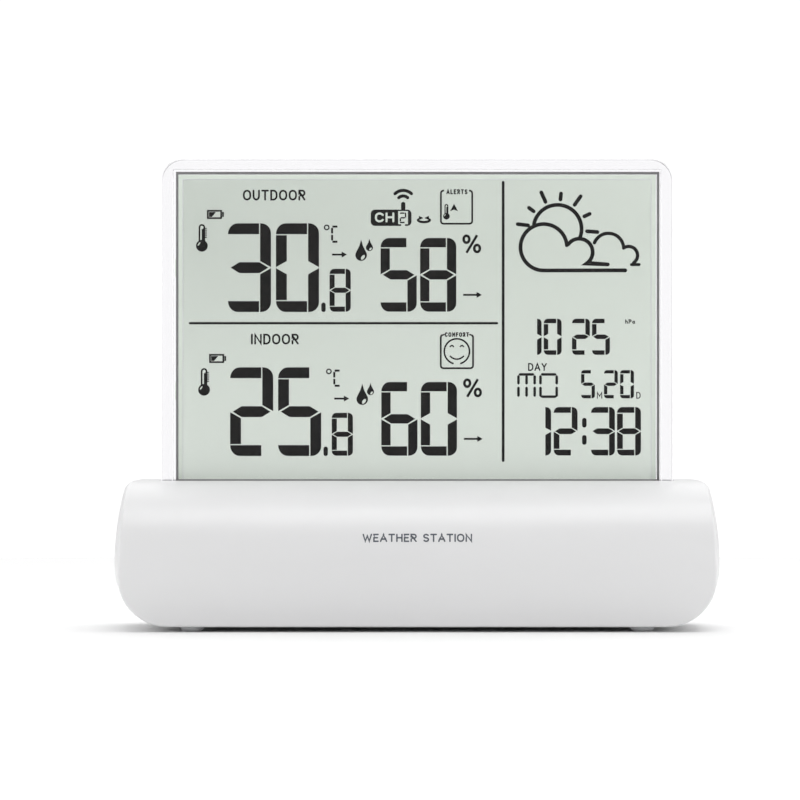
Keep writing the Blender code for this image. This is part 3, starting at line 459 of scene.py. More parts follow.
class Artwork:
    """Flat shapes in millimetres, u to the right and v down, that become one thin piece."""

    def __init__(self):
        self.bm = bmesh.new()

    def shape(self, outline, *holes):
        """Fills an outline, and leaves its holes open."""
        edges = []
        for loop in (outline, *holes):
            corners = [self.bm.verts.new((u, v, 0.0)) for u, v in loop]
            edges += [self.bm.edges.new(pair) for pair in zip(corners, corners[1:] + corners[:1])]
        bmesh.ops.triangle_fill(self.bm, use_beauty=True, use_dissolve=False, edges=edges)

    def bar(self, left, top, width, height):
        right, bottom = left + width, top + height
        self.shape([(left, top), (right, top), (right, bottom), (left, bottom)])

    def disc(self, centre, radius, steps=28):
        self.shape(arc(centre, radius, 0, 360 - 360 / steps, steps - 1))

    def ring(self, centre, radius, width, steps=36):
        """Ring whose line has its middle at radius."""
        outer = arc(centre, radius + width / 2, 0, 360 - 360 / steps, steps - 1)
        inner = arc(centre, radius - width / 2, 0, 360 - 360 / steps, steps - 1)
        self.shape(outer, inner)

    def stroke(self, points, width, caps=True):
        """Line of even width along points, with round ends if caps."""
        half = width / 2
        left, right = [], []
        last = len(points) - 1
        for index, point in enumerate(points):
            here = Vector(point)
            into = (here - Vector(points[max(index - 1, 0)])).normalized()
            out = (Vector(points[min(index + 1, last)]) - here).normalized()
            into, out = (into if index else out), (out if index < last else into)
            side = corner_side(into, out, half)
            left.append(tuple(here + side))
            right.append(tuple(here - side))
        if caps:
            start, end = Vector(points[0]), Vector(points[-1])
            self.shape(left + half_turn(end, left[-1]) + right[::-1] + half_turn(start, right[0]))
        else:
            self.shape(left + right[::-1])

    def capsule(self, left, top, width, height):
        middle = left + width / 2
        self.stroke([(middle, top + width / 2), (middle, top + height - width / 2)], width)

    def rounded_box(self, left, top, width, height, radius, line=None):
        """Box with round corners: filled, or only its line."""
        outer = round_corners(left, top, width, height, radius)
        if line is None:
            self.shape(outer)
        else:
            inside = (left + line, top + line, width - 2 * line, height - 2 * line)
            self.shape(outer, round_corners(*inside, max(radius - line, 0.05)))

    def loop(self, points, width):
        """Closed line of even width."""
        outer, inner = [], []
        for before, here, after in zip(points[-1:] + points[:-1], points, points[1:] + points[:1]):
            into = (Vector(here) - Vector(before)).normalized()
            out = (Vector(after) - Vector(here)).normalized()
            side = corner_side(into, out, width / 2)
            outer.append(tuple(Vector(here) + side))
            inner.append(tuple(Vector(here) - side))
        self.shape(outer, inner)

    def words(self, text, left, top, width, height, line):
        """Plain upright lettering, drawn with a line of even width, that fills a box."""
        spaces = LETTER_GAP * height * (len(text) - 1) + line * len(text)
        stretch = (width - spaces) / sum(LETTERS[letter][0] for letter in text)
        for letter in text:
            share, open_lines, closed_lines = LETTERS[letter]
            wide, tall = share * stretch, height - line
            start = (left + line / 2, top + line / 2)
            for points in open_lines:
                self.stroke([(start[0] + u * wide, start[1] + v * tall) for u, v in points], line)
            for points in closed_lines:
                self.loop([(start[0] + u * wide, start[1] + v * tall) for u, v in points], line)
            left += wide + line + LETTER_GAP * height

    def build(self, name, look, slot, place, body=STATION, shadows=True):
        """Gives the shapes their thickness. place turns (u, v, depth share) into the frame's metres."""
        flat = self.bm.faces[:]
        pushed = bmesh.ops.extrude_face_region(self.bm, geom=flat, use_keep_orig=True)["geom"]
        moved = [item for item in pushed if isinstance(item, bmesh.types.BMVert)]
        bmesh.ops.translate(self.bm, vec=(0.0, 0.0, 1.0), verts=moved)
        for vert in self.bm.verts:
            vert.co = place(*vert.co)
        bmesh.ops.recalc_face_normals(self.bm, faces=self.bm.faces)
        mesh = bpy.data.meshes.new(name)
        self.bm.to_mesh(mesh)
        self.bm.free()
        mesh.materials.append(look)
        piece = put_in_scene(name, mesh, body, slot)
        piece.visible_shadow = shadows
        piece.visible_diffuse = shadows
        return piece


def corner_side(into, out, half):
    """Step from a line's middle to its edge, where the line turns from one direction to another."""
    middle = (into + out).normalized()
    return Vector((middle.y, -middle.x)) * (half / max(middle.dot(out), MITRE_LIMIT))


def arc(centre, radius, start, end, steps):
    """Points of an arc. Angles are in degrees, 0 to the right and 90 up."""
    points = []
    for step in range(steps + 1):
        angle = math.radians(start + (end - start) * step / steps)
        points.append((centre[0] + radius * math.cos(angle), centre[1] - radius * math.sin(angle)))
    return points


def half_turn(centre, start, steps=8):
    """Points of a round line end, from one side of the line to the other."""
    spoke = Vector(start) - Vector(centre)
    found = []
    for step in range(1, steps):
        turned = Matrix.Rotation(math.pi * step / steps, 2) @ spoke
        found.append(tuple(Vector(centre) + turned))
    return found


def round_corners(left, top, width, height, radius, steps=6):
    right, bottom = left + width - radius, top + height - radius
    left, top = left + radius, top + radius
    points = arc((right, top), radius, 0, 90, steps)
    points += arc((left, top), radius, 90, 180, steps)
    points += arc((left, bottom), radius, 180, 270, steps)
    return points + arc((right, bottom), radius, 270, 360, steps)


def bend(u, v, wide, tall, start, end, steps=6):
    """Points of a stretched arc in a letter's own cell, where both sides are 1 and v points down."""
    return [(u + x * wide, v + y * tall) for x, y in arc((0.0, 0.0), 1.0, start, end, steps)]


# Each letter: its width as a share, its open lines and its closed lines, in a cell with sides of 1.
BOWL = bend(0.5, 0.38, 0.5, 0.38, 0, 180) + bend(0.5, 0.62, 0.5, 0.38, 180, 360)
LETTER_GAP = 0.13
LETTERS = {
    " ": (0.3, [], []),
    "A": (0.66, [[(0, 1), (0.5, 0), (1, 1)], [(0.2, 0.68), (0.8, 0.68)]], []),
    "C": (0.6, [bend(0.5, 0.38, 0.5, 0.38, 30, 180) + bend(0.5, 0.62, 0.5, 0.38, 180, 330)], []),
    "D": (0.56, [], [[(0, 1), (0, 0)] + bend(0.4, 0.4, 0.6, 0.4, 90, 0) + bend(0.4, 0.6, 0.6, 0.4, 0, -90)]),
    "E": (0.45, [[(1, 0), (0, 0), (0, 1), (1, 1)], [(0, 0.48), (0.85, 0.48)]], []),
    "F": (0.44, [[(1, 0), (0, 0), (0, 1)], [(0, 0.5), (0.85, 0.5)]], []),
    "H": (0.56, [[(0, 0), (0, 1)], [(1, 0), (1, 1)], [(0, 0.48), (1, 0.48)]], []),
    "I": (0.0, [[(0, 0), (0, 1)]], []),
    "L": (0.42, [[(0, 0), (0, 1), (1, 1)]], []),
    "M": (0.7, [[(0, 1), (0, 0), (0.5, 0.65), (1, 0), (1, 1)]], []),
    "N": (0.58, [[(0, 1), (0, 0), (1, 1), (1, 0)]], []),
    "O": (0.66, [], [BOWL]),
    "P": (0.5, [[(0, 1), (0, 0)] + bend(0.6, 0.28, 0.4, 0.28, 90, -90) + [(0, 0.56)]], []),
    "R": (
        0.54,
        [[(0, 1), (0, 0)] + bend(0.6, 0.27, 0.4, 0.27, 90, -90) + [(0, 0.54)], [(0.5, 0.56), (1, 1)]],
        [],
    ),
    "S": (0.5, [bend(0.5, 0.25, 0.5, 0.25, 30, 270, 9) + bend(0.5, 0.75, 0.5, 0.25, 90, -150, 9)[1:]], []),
    "T": (0.58, [[(0, 0), (1, 0)], [(0.5, 0), (0.5, 1)]], []),
    "U": (0.56, [[(0, 0)] + bend(0.5, 0.6, 0.5, 0.4, 180, 360, 8) + [(1, 0)]], []),
    "W": (0.9, [[(0, 0), (0.25, 1), (0.5, 0.2), (0.75, 1), (1, 0)]], []),
    "Y": (0.58, [[(0, 0), (0.5, 0.52), (1, 0)], [(0.5, 0.52), (0.5, 1)]], []),
    "a": (0.46, [[(1, 0.4), (1, 1)]], [bend(0.5, 0.7, 0.5, 0.3, 0, 315, 7)]),
    "h": (0.42, [[(0, 0), (0, 1)], bend(0.5, 0.66, 0.5, 0.28, 180, 0) + [(1, 1)]], []),
}

# ------------------------------------------------------------------ digits and symbols
SEGMENTS = {
    "0": "abcdef",
    "1": "bc",
    "2": "abged",
    "3": "abgcd",
    "5": "afgcd",
    "6": "afgedc",
    "8": "abcdefg",
}
SLANT = 0.56
CORNER = 0.9


def digit(art, figure, left, top, width, height, line, gap=0.3):
    """Seven-segment digit: straight cuts at the outer corners, slanted cuts at the middle."""
    middle = height / 2
    radius = CORNER * line
    split = width - line - gap
    nose = middle - gap / 2
    inner = nose - SLANT * line
    corner_left = arc((radius, line), radius, 180, 90, 6)
    corner_left = [(u, line - (line - v) * line / radius) for u, v in corner_left]
    corner_right = arc((width - radius, radius), radius, 90, 0, 6)
    tip = 0.24 * line
    slope = tip + SLANT * 1.45 * line
    shapes = {
        "a": corner_left + [(split, 0.0), (split, line)],
        "b": [(width - line, 0.0)] + corner_right + [(width, nose), (width - line, inner)],
        "f": [(0.0, line + gap), (line, line + gap), (line, inner), (0.0, nose)],
        "g": [
            (tip, middle),
            (slope, middle - line / 2),
            (width - slope, middle - line / 2),
            (width - tip, middle),
            (width - slope, middle + line / 2),
            (slope, middle + line / 2),
        ],
    }
    for upper, lower in (("a", "d"), ("b", "c"), ("f", "e")):
        shapes[lower] = [(u, height - v) for u, v in shapes[upper]]
    for name in SEGMENTS[figure]:
        art.shape([(left + u, top + v) for u, v in shapes[name]])


def digits(art, text, left, top, width, height, line, pitch, gap=0.3):
    for index, figure in enumerate(text):
        digit(art, figure, left + index * pitch, top, width, height, line, gap)


def pin_letter(art, columns, left, top, width, height, line, bars="t"):
    """Letter of the small day display: upright pins in an upper and a lower row, and end bars."""
    nose = line * 0.45
    for share in columns:
        u = left + line / 2 + share * (width - line)
        for start, end in ((line * 0.7, height / 2 - 0.25), (height / 2 + 0.25, height - line * 0.35)):
            outline = [(u, top + start), (u + line / 2, top + start + nose), (u + line / 2, top + end - nose)]
            outline += [(u, top + end), (u - line / 2, top + end - nose), (u - line / 2, top + start + nose)]
            art.shape(outline)
    for place in bars:
        v = top + (line / 2 if place == "t" else height - line / 2)
        start, end = left + line * 0.55, left + width - line * 0.55
        outline = [(start, v), (start + nose, v - line / 2), (end - nose, v - line / 2)]
        outline += [(end, v), (end - nose, v + line / 2), (start + nose, v + line / 2)]
        art.shape(outline)


def battery_symbol(art, left, top):
    width, height, line = 4.5, 2.7, 0.52
    art.rounded_box(left, top, width, height, 0.15, line)
    art.bar(left + width + 0.05, top + 0.6, 0.5, height - 1.2)
    low = top + height - 0.62
    art.shape([(left + 0.6, top + 0.62), (left + 2.7, top + 0.62), (left + 1.5, low), (left + 0.6, low)])


def thermometer(art, left, top, scale=1.0, ticks=5):
    """Thermometer with a filled bulb, its column on the right half, and ticks beside it."""
    line = max(0.5 * scale, 0.34)
    bulb = (left + 1.76 * scale, top + 6.45 * scale)
    half = 0.72 * scale
    neck = bulb[1] - 1.2 * scale
    crown = arc((bulb[0], top + half + line / 2), half, 180, 0, 8)
    art.stroke([(bulb[0] - half, neck)] + crown + [(bulb[0] + half, neck)], line, caps=False)
    hole = shine((bulb[0] - 0.85 * scale, bulb[1] - 0.55 * scale), 0.2 * scale, 0.62 * scale, 35)
    art.shape(arc(bulb, 1.75 * scale, 0, 350, 35), hole)
    art.bar(bulb[0] - 0.05 * scale, top + 1.5 * scale, 0.62 * scale, neck - top - 1.3 * scale)
    for tick in range(ticks):
        art.bar(bulb[0] + 0.5 * half, top + (1.2 + tick * 0.64) * scale, 1.15 * scale, 0.36 * scale)


def shine(centre, wide, tall, lean):
    """Small leaning oval that is left open as a highlight."""
    turn = Matrix.Rotation(math.radians(lean), 2)
    oval = [turn @ Vector((u * wide, v * tall)) for u, v in arc((0.0, 0.0), 1.0, 0, 330, 11)]
    return [(centre[0] + point.x, centre[1] + point.y) for point in oval]


def drop(art, tip, width, height):
    """Water drop with a highlight left open in its lower right."""
    radius = width / 2
    centre = (tip[0], tip[1] + height - radius)
    sides = arc(centre, radius, 155, 385, 24)
    neck_left = (tip[0] - 0.16 * width, tip[1] + 0.3 * height)
    neck_right = (tip[0] + 0.16 * width, tip[1] + 0.3 * height)
    spot = (centre[0] + 0.3 * radius, centre[1] + 0.38 * radius)
    art.shape([tip, neck_left] + sides + [neck_right], shine(spot, 0.13 * width, 0.24 * width, 35))


def arrow(art, left, v, length):
    art.bar(left, v - 0.28, length - 0.9, 0.56)
    art.shape([(left + length, v), (left + length - 1.6, v - 0.9), (left + length - 1.6, v + 0.9)])


def degree_mark(art, left, top):
    """Degree ring and a letter C of short bars."""
    art.ring((left + 0.8, top + 0.8), 0.66, 0.4)
    line = 0.62
    for start in (0.25, 4.75):
        art.bar(left + 2.5, top + start, 1.5, line)
    for start in (0.95, 3.0):
        art.bar(left + 2.1, top + start, line, 1.65)


def percent_sign(art, left, top):
    for u, v in ((1.05, 1.3), (4.2, 4.05)):
        art.loop(bend(left + u, top + v, 0.84, 1.04, 0, 345, 23), 0.8)
    art.stroke([(left + 1.05, top + 5.35), (left + 4.2, top + 0.1)], 0.76, caps=False)


def label_frame(art, left, top, width, height, gap_start, gap_end):
    """Round-cornered frame whose top line is open where its label stands."""
    radius = 0.8
    right, bottom = left + width, top + height
    line = 0.54
    points = [(left + gap_start, top)] + arc((left + radius, top + radius), radius, 90, 180, 5)
    points += arc((left + radius, bottom - radius), radius, 180, 270, 5)
    points += arc((right - radius, bottom - radius), radius, 270, 360, 5)
    points += arc((right - radius, top + radius), radius, 0, 90, 5)
    art.stroke(points + [(left + gap_end, top)], line, caps=False)


def climate_row(art, words, shift, down, word, word_left, word_width, temperature, humidity):
    """One half of the climate side: temperature with a small decimal, and humidity."""
    words.words(word, word_left, 4.6 + down, word_width, 3.2, 0.55)
    battery_symbol(art, 8.65 + shift, 10.6 + down)
    thermometer(art, 5.4 + shift, 14.8 + down)
    digits(art, temperature[:2], 14.9 + shift, 14.57 + down, 12.8, 26.37, 3.24, 14.27)
    art.capsule(42.65 + shift, 38.1 + down, 1.3, 2.85)
    digit(art, temperature[2], 45.1 + shift, 28.1 + down, 6.3, 12.75, 1.52, 0.2)
    degree_mark(art, 43.45 + shift, 15.0 + down)
    arrow(art, 45.8 + shift, 23.87 + down, 4.5)
    drop(art, (54.5 + shift / 2, 19.4 + down), 3.45, 6.35)
    drop(art, (56.95 + shift / 2, 19.15 + down), 2.1, 3.7)
    digits(art, humidity, 60.26 + shift / 3, 18.94 + down, 10.75, 21.9, 2.77, 11.75)
    percent_sign(art, 84.75 + shift / 3, 18.0 + down)
    arrow(art, 84.8 + shift / 3, 35.85 + down, 5.6)


def channel_symbol(art, light, over):
    """Aerial with waves over a dark plate that names the channel."""
    plate = (57.35, 10.5, 12.1, 4.85)
    mast = (67.0, 8.95)
    art.rounded_box(*plate, 1.25)
    art.capsule(mast[0] - 0.65, mast[1] - 0.75, 1.3, 2.6)
    for radius in (1.95, 3.6):
        art.stroke(arc((mast[0], 8.4), radius, 47, 133, 10), 0.95)
    light.words("CH", 58.6, 11.35, 5.75, 2.95, 0.6)
    light.bar(65.5, 10.95, 2.9, 3.9)
    light.bar(66.4, 14.8, 1.1, 0.6)
    digit(over, "2", 65.95, 11.35, 1.95, 3.2, 0.42, 0.1)


def search_symbol(art):
    """Two arrows that meet at the top of a flat loop."""
    middle, level = 73.15, 13.6
    art.stroke(bend(middle, level, 1.75, 0.62, 175, 365, 20), 0.72)
    for start, end in ((170, 130), (10, 50)):
        art.stroke(bend(middle, level, 1.75, 0.62, start, end, 5), 0.5)
    for side in (-1, 1):
        tip = (middle + side * 0.1, level - 0.6)
        back = tip[0] + side * 1.4
        art.shape([tip, (back, tip[1] - 0.65), (back, tip[1] + 0.6)])


def alert_box(art, words):
    label_frame(art, 78.2, 4.85, 9.3, 9.85, 0.95, 8.35)
    words.words("ALERTS", 79.8, 4.45, 6.3, 1.5, 0.36)
    thermometer(art, 78.85, 8.85, 0.56, 0)
    art.shape([(82.1, 8.8), (83.3, 11.0), (82.1, 10.5), (80.9, 11.0)])


def comfort_box(art, words):
    """Frame with a smiling face."""
    label_frame(art, 78.15, 47.7, 9.6, 9.95, 0.75, 8.85)
    words.words("COMFORT", 79.35, 46.95, 7.2, 1.4, 0.34)
    face = (82.95, 52.65)
    art.stroke(arc(face, 3.75, -72, 252, 40), 0.5)
    art.stroke(arc((face[0], face[1] - 0.35), 2.65, 222, 318, 12), 0.45)
    for side in (-1, 1):
        art.stroke(arc((face[0] + side * 1.5, face[1] - 1.25), 0.5, 20, 160, 6), 0.42)


def weather_symbol(art):
    """Sun with rays behind a large and a small cloud."""
    line = 1.14
    sun = (112.85, 16.25)
    radius = 7.15
    art.stroke(arc(sun, radius, -20, 168, 40), line)
    for ray in range(7):
        angle = -4.5 + 29.6 * ray
        reach = 11.9 if ray % 2 == 0 else 10.55
        art.stroke([arc(sun, distance, angle, angle, 1)[0] for distance in (8.8, reach)], line)
    cloud = (108.75, 21.7)
    art.stroke(arc(cloud, 6.9, 5, 268, 44) + [(133.0, 28.55)], line)
    art.stroke(arc((119.3, 23.15), 4.0, 145, -62, 24) + [(127.8, 26.8)], line)
    art.stroke(arc((128.0, 22.05), 4.5, 158, 4, 20), line * 0.9)
    art.stroke(arc((134.0, 24.1), 2.65, 125, -55, 16), line * 0.9)
    art.stroke([(134.8, 26.85), (137.1, 26.85)], line * 0.8)


def clock_side(art, words):
    """Pressure, date and time, to the right of the long divider."""
    digit(art, "1", 102.8, 42.93, 5.32, 10.73, 1.34, 0.25)
    digit(art, "0", 108.75, 42.93, 5.32, 10.73, 1.34, 0.25)
    digits(art, "25", 117.15, 42.93, 5.32, 10.73, 1.34, 5.95, 0.25)
    words.words("hPa", 132.95, 43.1, 2.95, 1.35, 0.3)
    words.words("DAY", 104.1, 56.1, 5.6, 2.35, 0.4)
    pin_letter(art, (0.0, 0.5, 1.0), 100.85, 59.1, 5.6, 7.4, 0.78)
    pin_letter(art, (0.0, 1.0), 107.4, 59.1, 5.6, 7.4, 0.78, "tb")
    for figure, left in (("5", 119.85), ("2", 126.65), ("0", 131.45)):
        digit(art, figure, left, 58.2, 4.12, 8.4, 1.0, 0.2)
    words.words("M", 124.55, 64.7, 1.6, 2.0, 0.3)
    words.words("D", 136.25, 64.7, 1.3, 2.0, 0.3)
    digit(art, "1", 103.85, 69.18, 7.1, 14.4, 1.72, 0.25)
    digit(art, "2", 111.7, 69.18, 7.1, 14.4, 1.72, 0.25)
    art.capsule(120.15, 72.4, 1.35, 2.9)
    art.capsule(120.15, 77.5, 1.35, 2.9)
    digits(art, "38", 122.8, 69.18, 7.1, 14.4, 1.72, 7.75, 0.25)


def make_display_marks():
    """Everything that the display shows, between its two glasses."""
    low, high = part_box("lcd_front_glass")
    back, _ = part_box("lcd_rear_glass")

    def between_glasses(front, thickness):
        """Place for artwork at a distance in front of the rear glass."""
        face = back.y - mm(front)

        def place(u, v, depth):
            return low.x + mm(u), face + mm(thickness) * depth, high.z - mm(v)

        return place

    segments, words, light, over = Artwork(), Artwork(), Artwork(), Artwork()
    climate_row(segments, words, 0.0, 0.0, "OUTDOOR", 19.35, 18.6, "308", "58")
    climate_row(segments, words, 0.65, 42.8, "INDOOR", 21.75, 14.2, "258", "60")
    channel_symbol(segments, light, over)
    search_symbol(segments)
    alert_box(segments, words)
    comfort_box(segments, words)
    weather_symbol(segments)
    clock_side(segments, words)
    segments.stroke([(3.6, 44.27), (94.85, 44.27)], 0.7)
    segments.stroke([(96.7, 2.4), (96.7, 85.1)], 0.82)
    ink, plate = (DISPLAY_INK, "display_film"), (LOOKS["display_film"], "display_film")
    segments.build("display_segments", *ink, between_glasses(0.12, 0.05), shadows=False)
    words.build("display_words", *ink, between_glasses(0.12, 0.05), shadows=False)
    light.build("display_plate_marks", *plate, between_glasses(0.16, 0.02), shadows=False)
    over.build("display_channel_figure", *ink, between_glasses(0.20, 0.02), shadows=False)


# ------------------------------------------------------------------ seals of the panel, and a painted shadow along its slot
DISPLAY_SIDES = (-70.9, 71.3)
DISPLAY_TOP = 134.9


def make_gasket():
    """Foam strip that hugs the display's two sides and its top."""
    line = 0.65
    low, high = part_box("edge_gasket")
    left, right = DISPLAY_SIDES[0] - line / 2, DISPLAY_SIDES[1] + line / 2
    top, bottom = DISPLAY_TOP + line / 2, low.z * 1000
    art = Artwork()
    art.stroke([(left, -bottom), (left, -top), (right, -top), (right, -bottom)], line, caps=False)

    def place(u, v, depth):
        return mm(u), low.y + (high.y - low.y) * depth, -mm(v)

    strip = art.build("gasket_strip", DARK_FOAM_AND_PAINTED_SHADE, "gasket", place, shadows=False)
    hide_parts("edge_gasket")


def make_slot_shadow_strip():
    """Dark strip between the window and the front shell, along the slot that the panel stands in: a painted
    shadow where the slot is in shade.
    """
    window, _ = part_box("front_window")
    art = Artwork()
    art.rounded_box(-71.4, -44.3, 142.8, 0.55, 0.25)

    def place(u, v, depth):
        return mm(u), window.y - mm(0.26) + mm(0.24) * depth, -mm(v)

    art.build("slot_shadow_strip", DARK_FOAM_AND_PAINTED_SHADE, "gasket", place, shadows=False)


# ------------------------------------------------------------------ printed and moulded details
def on_front(target):
    """Place on the front face: straight back onto the surface from the front."""
    tree = BVHTree.FromPolygons(
        [vert.co for vert in target.data.vertices], [face.vertices for face in target.data.polygons]
    )

    def place(u, v, depth):
        hit = tree.ray_cast(Vector((mm(u), -1.0, -mm(v))), Vector((0.0, 1.0, 0.0)))[0]
        return hit.x, hit.y - mm(0.03) * (1.0 - depth) + mm(0.01) * depth, hit.z

    return place


def make_front_print():
    """Small neutral line of lettering under the panel."""
    art = Artwork()
    art.words("WEATHER STATION", -16.0, -28.8, 32.0, 2.4, 0.44)
    art.build("front_print", PRINT_GREY, "white_plastic", on_front(frame["nodes"]["front_shell"]))


def on_key(name):
    """Place on top of a key, read from the front."""
    low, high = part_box(name)
    middle = (low + high) / 2

    def place(u, v, depth):
        return middle.x + mm(u), middle.y - mm(v), high.z + mm(0.04) * depth - mm(0.01)

    return place


def key_symbols():
    """One simple symbol for each key."""
    line = 0.32

    def sun(art):
        art.ring((0.0, 0.0), 0.85, line)
        for ray in range(8):
            art.stroke([arc((0.0, 0.0), reach, 45 * ray, 45 * ray, 1)[0] for reach in (1.45, 2.0)], line)

    def clock(art):
        art.ring((0.0, 0.0), 1.5, line)
        art.stroke([(0.0, -0.9), (0.0, 0.0), (0.65, 0.4)], line)

    def bell(art):
        dome = arc((0.0, -0.35), 0.95, 160, 20, 12)
        art.shape([(-1.45, 0.95)] + dome + [(1.45, 0.95)])
        art.disc((0.0, 1.35), 0.3)

    def waves(art):
        art.disc((0.0, 1.1), 0.35)
        for radius in (1.1, 1.9, 2.7):
            art.stroke(arc((0.0, 1.1), radius, 50, 130, 8), line)

    def high_low(art):
        art.shape([(-1.0, -1.4), (-0.1, -0.1), (-1.9, -0.1)])
        art.shape([(1.0, 1.4), (1.9, 0.1), (0.1, 0.1)])

    def minus(art):
        art.stroke([(-1.2, 0.0), (1.2, 0.0)], 0.4)

    def plus(art):
        art.stroke([(-1.2, 0.0), (1.2, 0.0)], 0.4)
        art.stroke([(0.0, -1.2), (0.0, 1.2)], 0.4)

    return {
        "light_bar": sun,
        "set_key": clock,
        "alert_key": bell,
        "channel_key": waves,
        "memory_key": high_low,
        "minus_key": minus,
        "plus_key": plus,
    }


def make_key_symbols():
    for name, draw in key_symbols().items():
        art = Artwork()
        draw(art)
        art.build(f"{name}_symbol", PRINT_GREY, "white_key", on_key(name), body=name)


def on_rear(node, rise):
    """Place on a flat face at the back, seen from behind; u and v are measured from the node's middle."""
    low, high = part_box(node)
    middle = (low + high) / 2

    def place(u, v, depth):
        return middle.x - mm(u), high.y + mm(rise) * depth - mm(0.05), middle.z - mm(v)

    return place


def make_rear_details():
    """Door: an opening arrow and grip ribs. Above the inlet: its polarity symbol."""
    door_arrow, ribs = Artwork(), Artwork()
    door_arrow.shape([(-2.0, -3.4), (2.0, -3.4), (0.0, -1.2)])
    for row in range(3):
        level = 1.0 + 1.8 * row
        ribs.stroke([(-6.0, level), (6.0, level)], 0.8)
    for name, art in (("door_arrow", door_arrow), ("door_ribs", ribs)):
        place = on_rear("battery_door", 0.45)
        art.build(name, LOOKS["white_plastic"], "white_plastic", place, "battery_door")
    level, line = -9.0, 0.3
    polarity = Artwork()
    polarity.disc((0.0, level), 0.45)
    polarity.stroke(arc((0.0, level), 1.1, 40, 320, 20), line)
    for start, end in ((0.5, 3.6), (-1.2, -3.6), (-5.3, -4.3), (4.3, 5.3)):
        polarity.stroke([(start, level), (end, level)], line)
    polarity.stroke([(4.8, level - 0.5), (4.8, level + 0.5)], line)
    polarity.build("polarity_symbol", PRINT_GREY, "white_plastic", on_rear("dc_jack", 0.04))


# ------------------------------------------------------------------ studio
# The camera's place is in millimetres. The floor and the lamp are measured in metres.
CAMERA_PLACE = (-5.06, -1300.0, 67.81)
LENS = 196.65
FLOOR_RADIUS = 0.6
FLOOR_WHITE = (0.89, 0.89, 0.89)


def make_camera():
    """Level camera that looks straight at the display from the front."""
    camera = bpy.data.objects.new("camera", bpy.data.cameras.new("camera"))
    camera.location = [mm(value) for value in CAMERA_PLACE]
    camera.rotation_euler = (math.radians(90), 0.0, 0.0)
    camera.data.sensor_width = 36.0
    camera.data.lens = LENS
    camera.data.clip_start = 0.01
    bpy.context.scene.collection.objects.link(camera)
    bpy.context.scene.camera = camera


def make_floor():
    """Plain white table top."""
    bm = bmesh.new()
    bmesh.ops.create_circle(bm, cap_ends=True, segments=96, radius=FLOOR_RADIUS)
    mesh = bpy.data.meshes.new("floor")
    bm.to_mesh(mesh)
    bm.free()
    look = Look("floor_white", FLOOR_WHITE, 0.9, IOR=1.0)
    mesh.materials.append(look.material)
    floor = bpy.data.objects.new("floor", mesh)
    bpy.context.scene.collection.objects.link(floor)


SKY_HORIZON = 0.6
SKY_LOW_FRONT = 1.95
SKY_OVERHEAD = 1.85
SKY_SIDES = 1.3
FRONT_PATCH = 0.1
BACKDROP = 1.08
KEY_POWER = 24.5
KEY_SIZE = (2.0, 1.0)
KEY_PLACE = Vector((0.22, -0.5, 2.1))


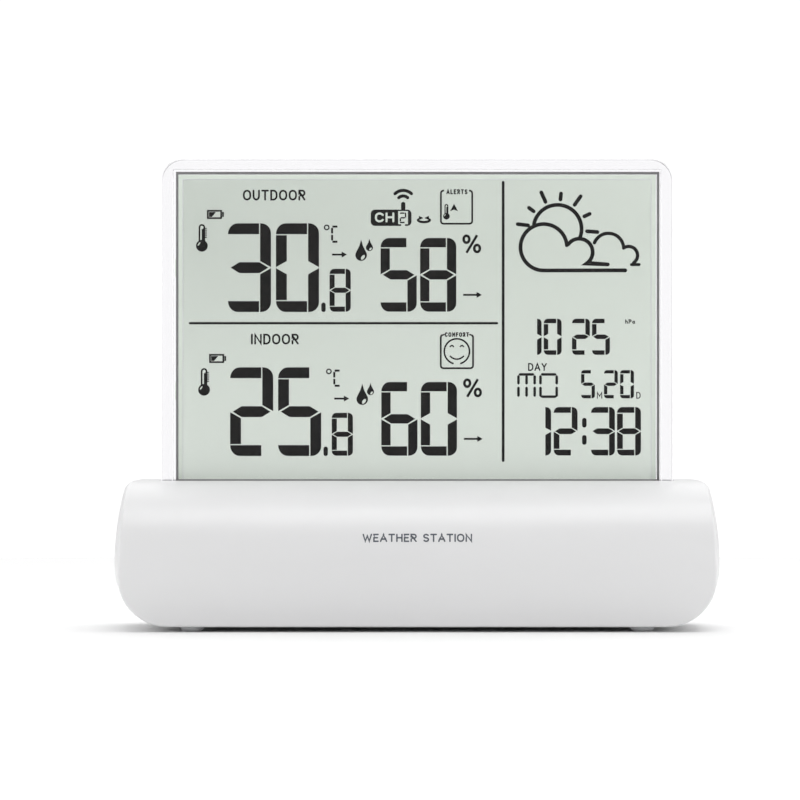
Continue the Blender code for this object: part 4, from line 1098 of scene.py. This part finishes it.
def make_world():
    """White surroundings: bright overhead, low in front and at both sides, with a dim patch straight ahead.

    The camera, and rays that go on back through the clear parts, see an even white backdrop instead.
    """
    world = bpy.data.worlds.new("studio")
    bpy.context.scene.world = world
    world.use_nodes = True
    nodes, links = world.node_tree.nodes, world.node_tree.links
    dome = nodes["Background"]

    def graded(source, low, high, low_out, high_out):
        made = nodes.new("ShaderNodeMapRange")
        made.interpolation_type = "SMOOTHSTEP"
        for key, value in zip(("From Min", "From Max", "To Min", "To Max"), (low, high, low_out, high_out)):
            made.inputs[key].default_value = value
        links.new(source, made.inputs["Value"])
        return made.outputs["Result"]

    def combined(how, first, second):
        made = nodes.new("ShaderNodeMath")
        made.operation = how
        links.new(first, made.inputs[0])
        links.new(second, made.inputs[1])
        return made.outputs["Value"]

    where = nodes.new("ShaderNodeTexCoord")
    split = nodes.new("ShaderNodeSeparateXYZ")
    links.new(where.outputs["Generated"], split.inputs["Vector"])
    low = graded(split.outputs["Z"], 0.1, 0.6, SKY_LOW_FRONT, 0.0)
    ahead = graded(split.outputs["Y"], -0.5, 0.0, 1.0, 0.0)
    behind = graded(split.outputs["Y"], -0.2, 0.5, 0.0, 1.0)
    rise = graded(split.outputs["Z"], 0.35, 0.75, SKY_HORIZON, SKY_OVERHEAD)
    patch = graded(split.outputs["Y"], -0.98, -0.85, FRONT_PATCH, 1.0)
    across = nodes.new("ShaderNodeMath")
    across.operation = "ABSOLUTE"
    links.new(split.outputs["X"], across.inputs[0])
    sides = graded(across.outputs["Value"], 0.7, 0.95, 0.0, SKY_SIDES)
    level = combined("ADD", combined("MULTIPLY", behind, rise), combined("MULTIPLY", low, ahead))
    level = combined("ADD", level, sides)
    links.new(combined("MULTIPLY", level, patch), dome.inputs["Strength"])
    dome.inputs["Color"].default_value = (1.0, 1.0, 1.0, 1.0)
    backdrop = nodes.new("ShaderNodeBackground")
    backdrop.inputs["Color"].default_value = (1.0, 1.0, 1.0, 1.0)
    backdrop.inputs["Strength"].default_value = BACKDROP
    path = nodes.new("ShaderNodeLightPath")
    onward = graded(split.outputs["Y"], 0.2, 0.5, 0.0, 1.0)
    through = combined("MULTIPLY", path.outputs["Is Transmission Ray"], onward)
    mix = nodes.new("ShaderNodeMixShader")
    links.new(combined("MAXIMUM", path.outputs["Is Camera Ray"], through), mix.inputs["Fac"])
    links.new(dome.outputs["Background"], mix.inputs[1])
    links.new(backdrop.outputs["Background"], mix.inputs[2])
    links.new(mix.outputs["Shader"], nodes["World Output"].inputs["Surface"])


def make_lights():
    """One large soft box overhead, a little in front."""
    lamp = bpy.data.objects.new("key_light", bpy.data.lights.new("key_light", "AREA"))
    lamp.data.shape = "RECTANGLE"
    lamp.data.size, lamp.data.size_y = KEY_SIZE
    lamp.data.energy = KEY_POWER
    lamp.location = KEY_PLACE
    aim = Vector((0.0, 0.0, 0.04)) - lamp.location
    lamp.rotation_mode = "QUATERNION"
    lamp.rotation_quaternion = aim.to_track_quat("-Z", "Y")
    bpy.context.scene.collection.objects.link(lamp)


def set_colours():
    """Plain colours with white left white, and enough bounces to cross all the clear layers."""
    scene = bpy.context.scene
    scene.view_settings.view_transform = "Standard"
    scene.view_settings.look = "None"
    scene.cycles.transparent_max_bounces = 24
    scene.cycles.max_bounces = 16
    scene.cycles.transmission_bounces = 16


make_camera()
make_skins()
make_gasket()
make_slot_shadow_strip()
make_display_marks()
make_front_print()
make_key_symbols()
make_rear_details()
make_floor()
make_world()
make_lights()
set_colours()
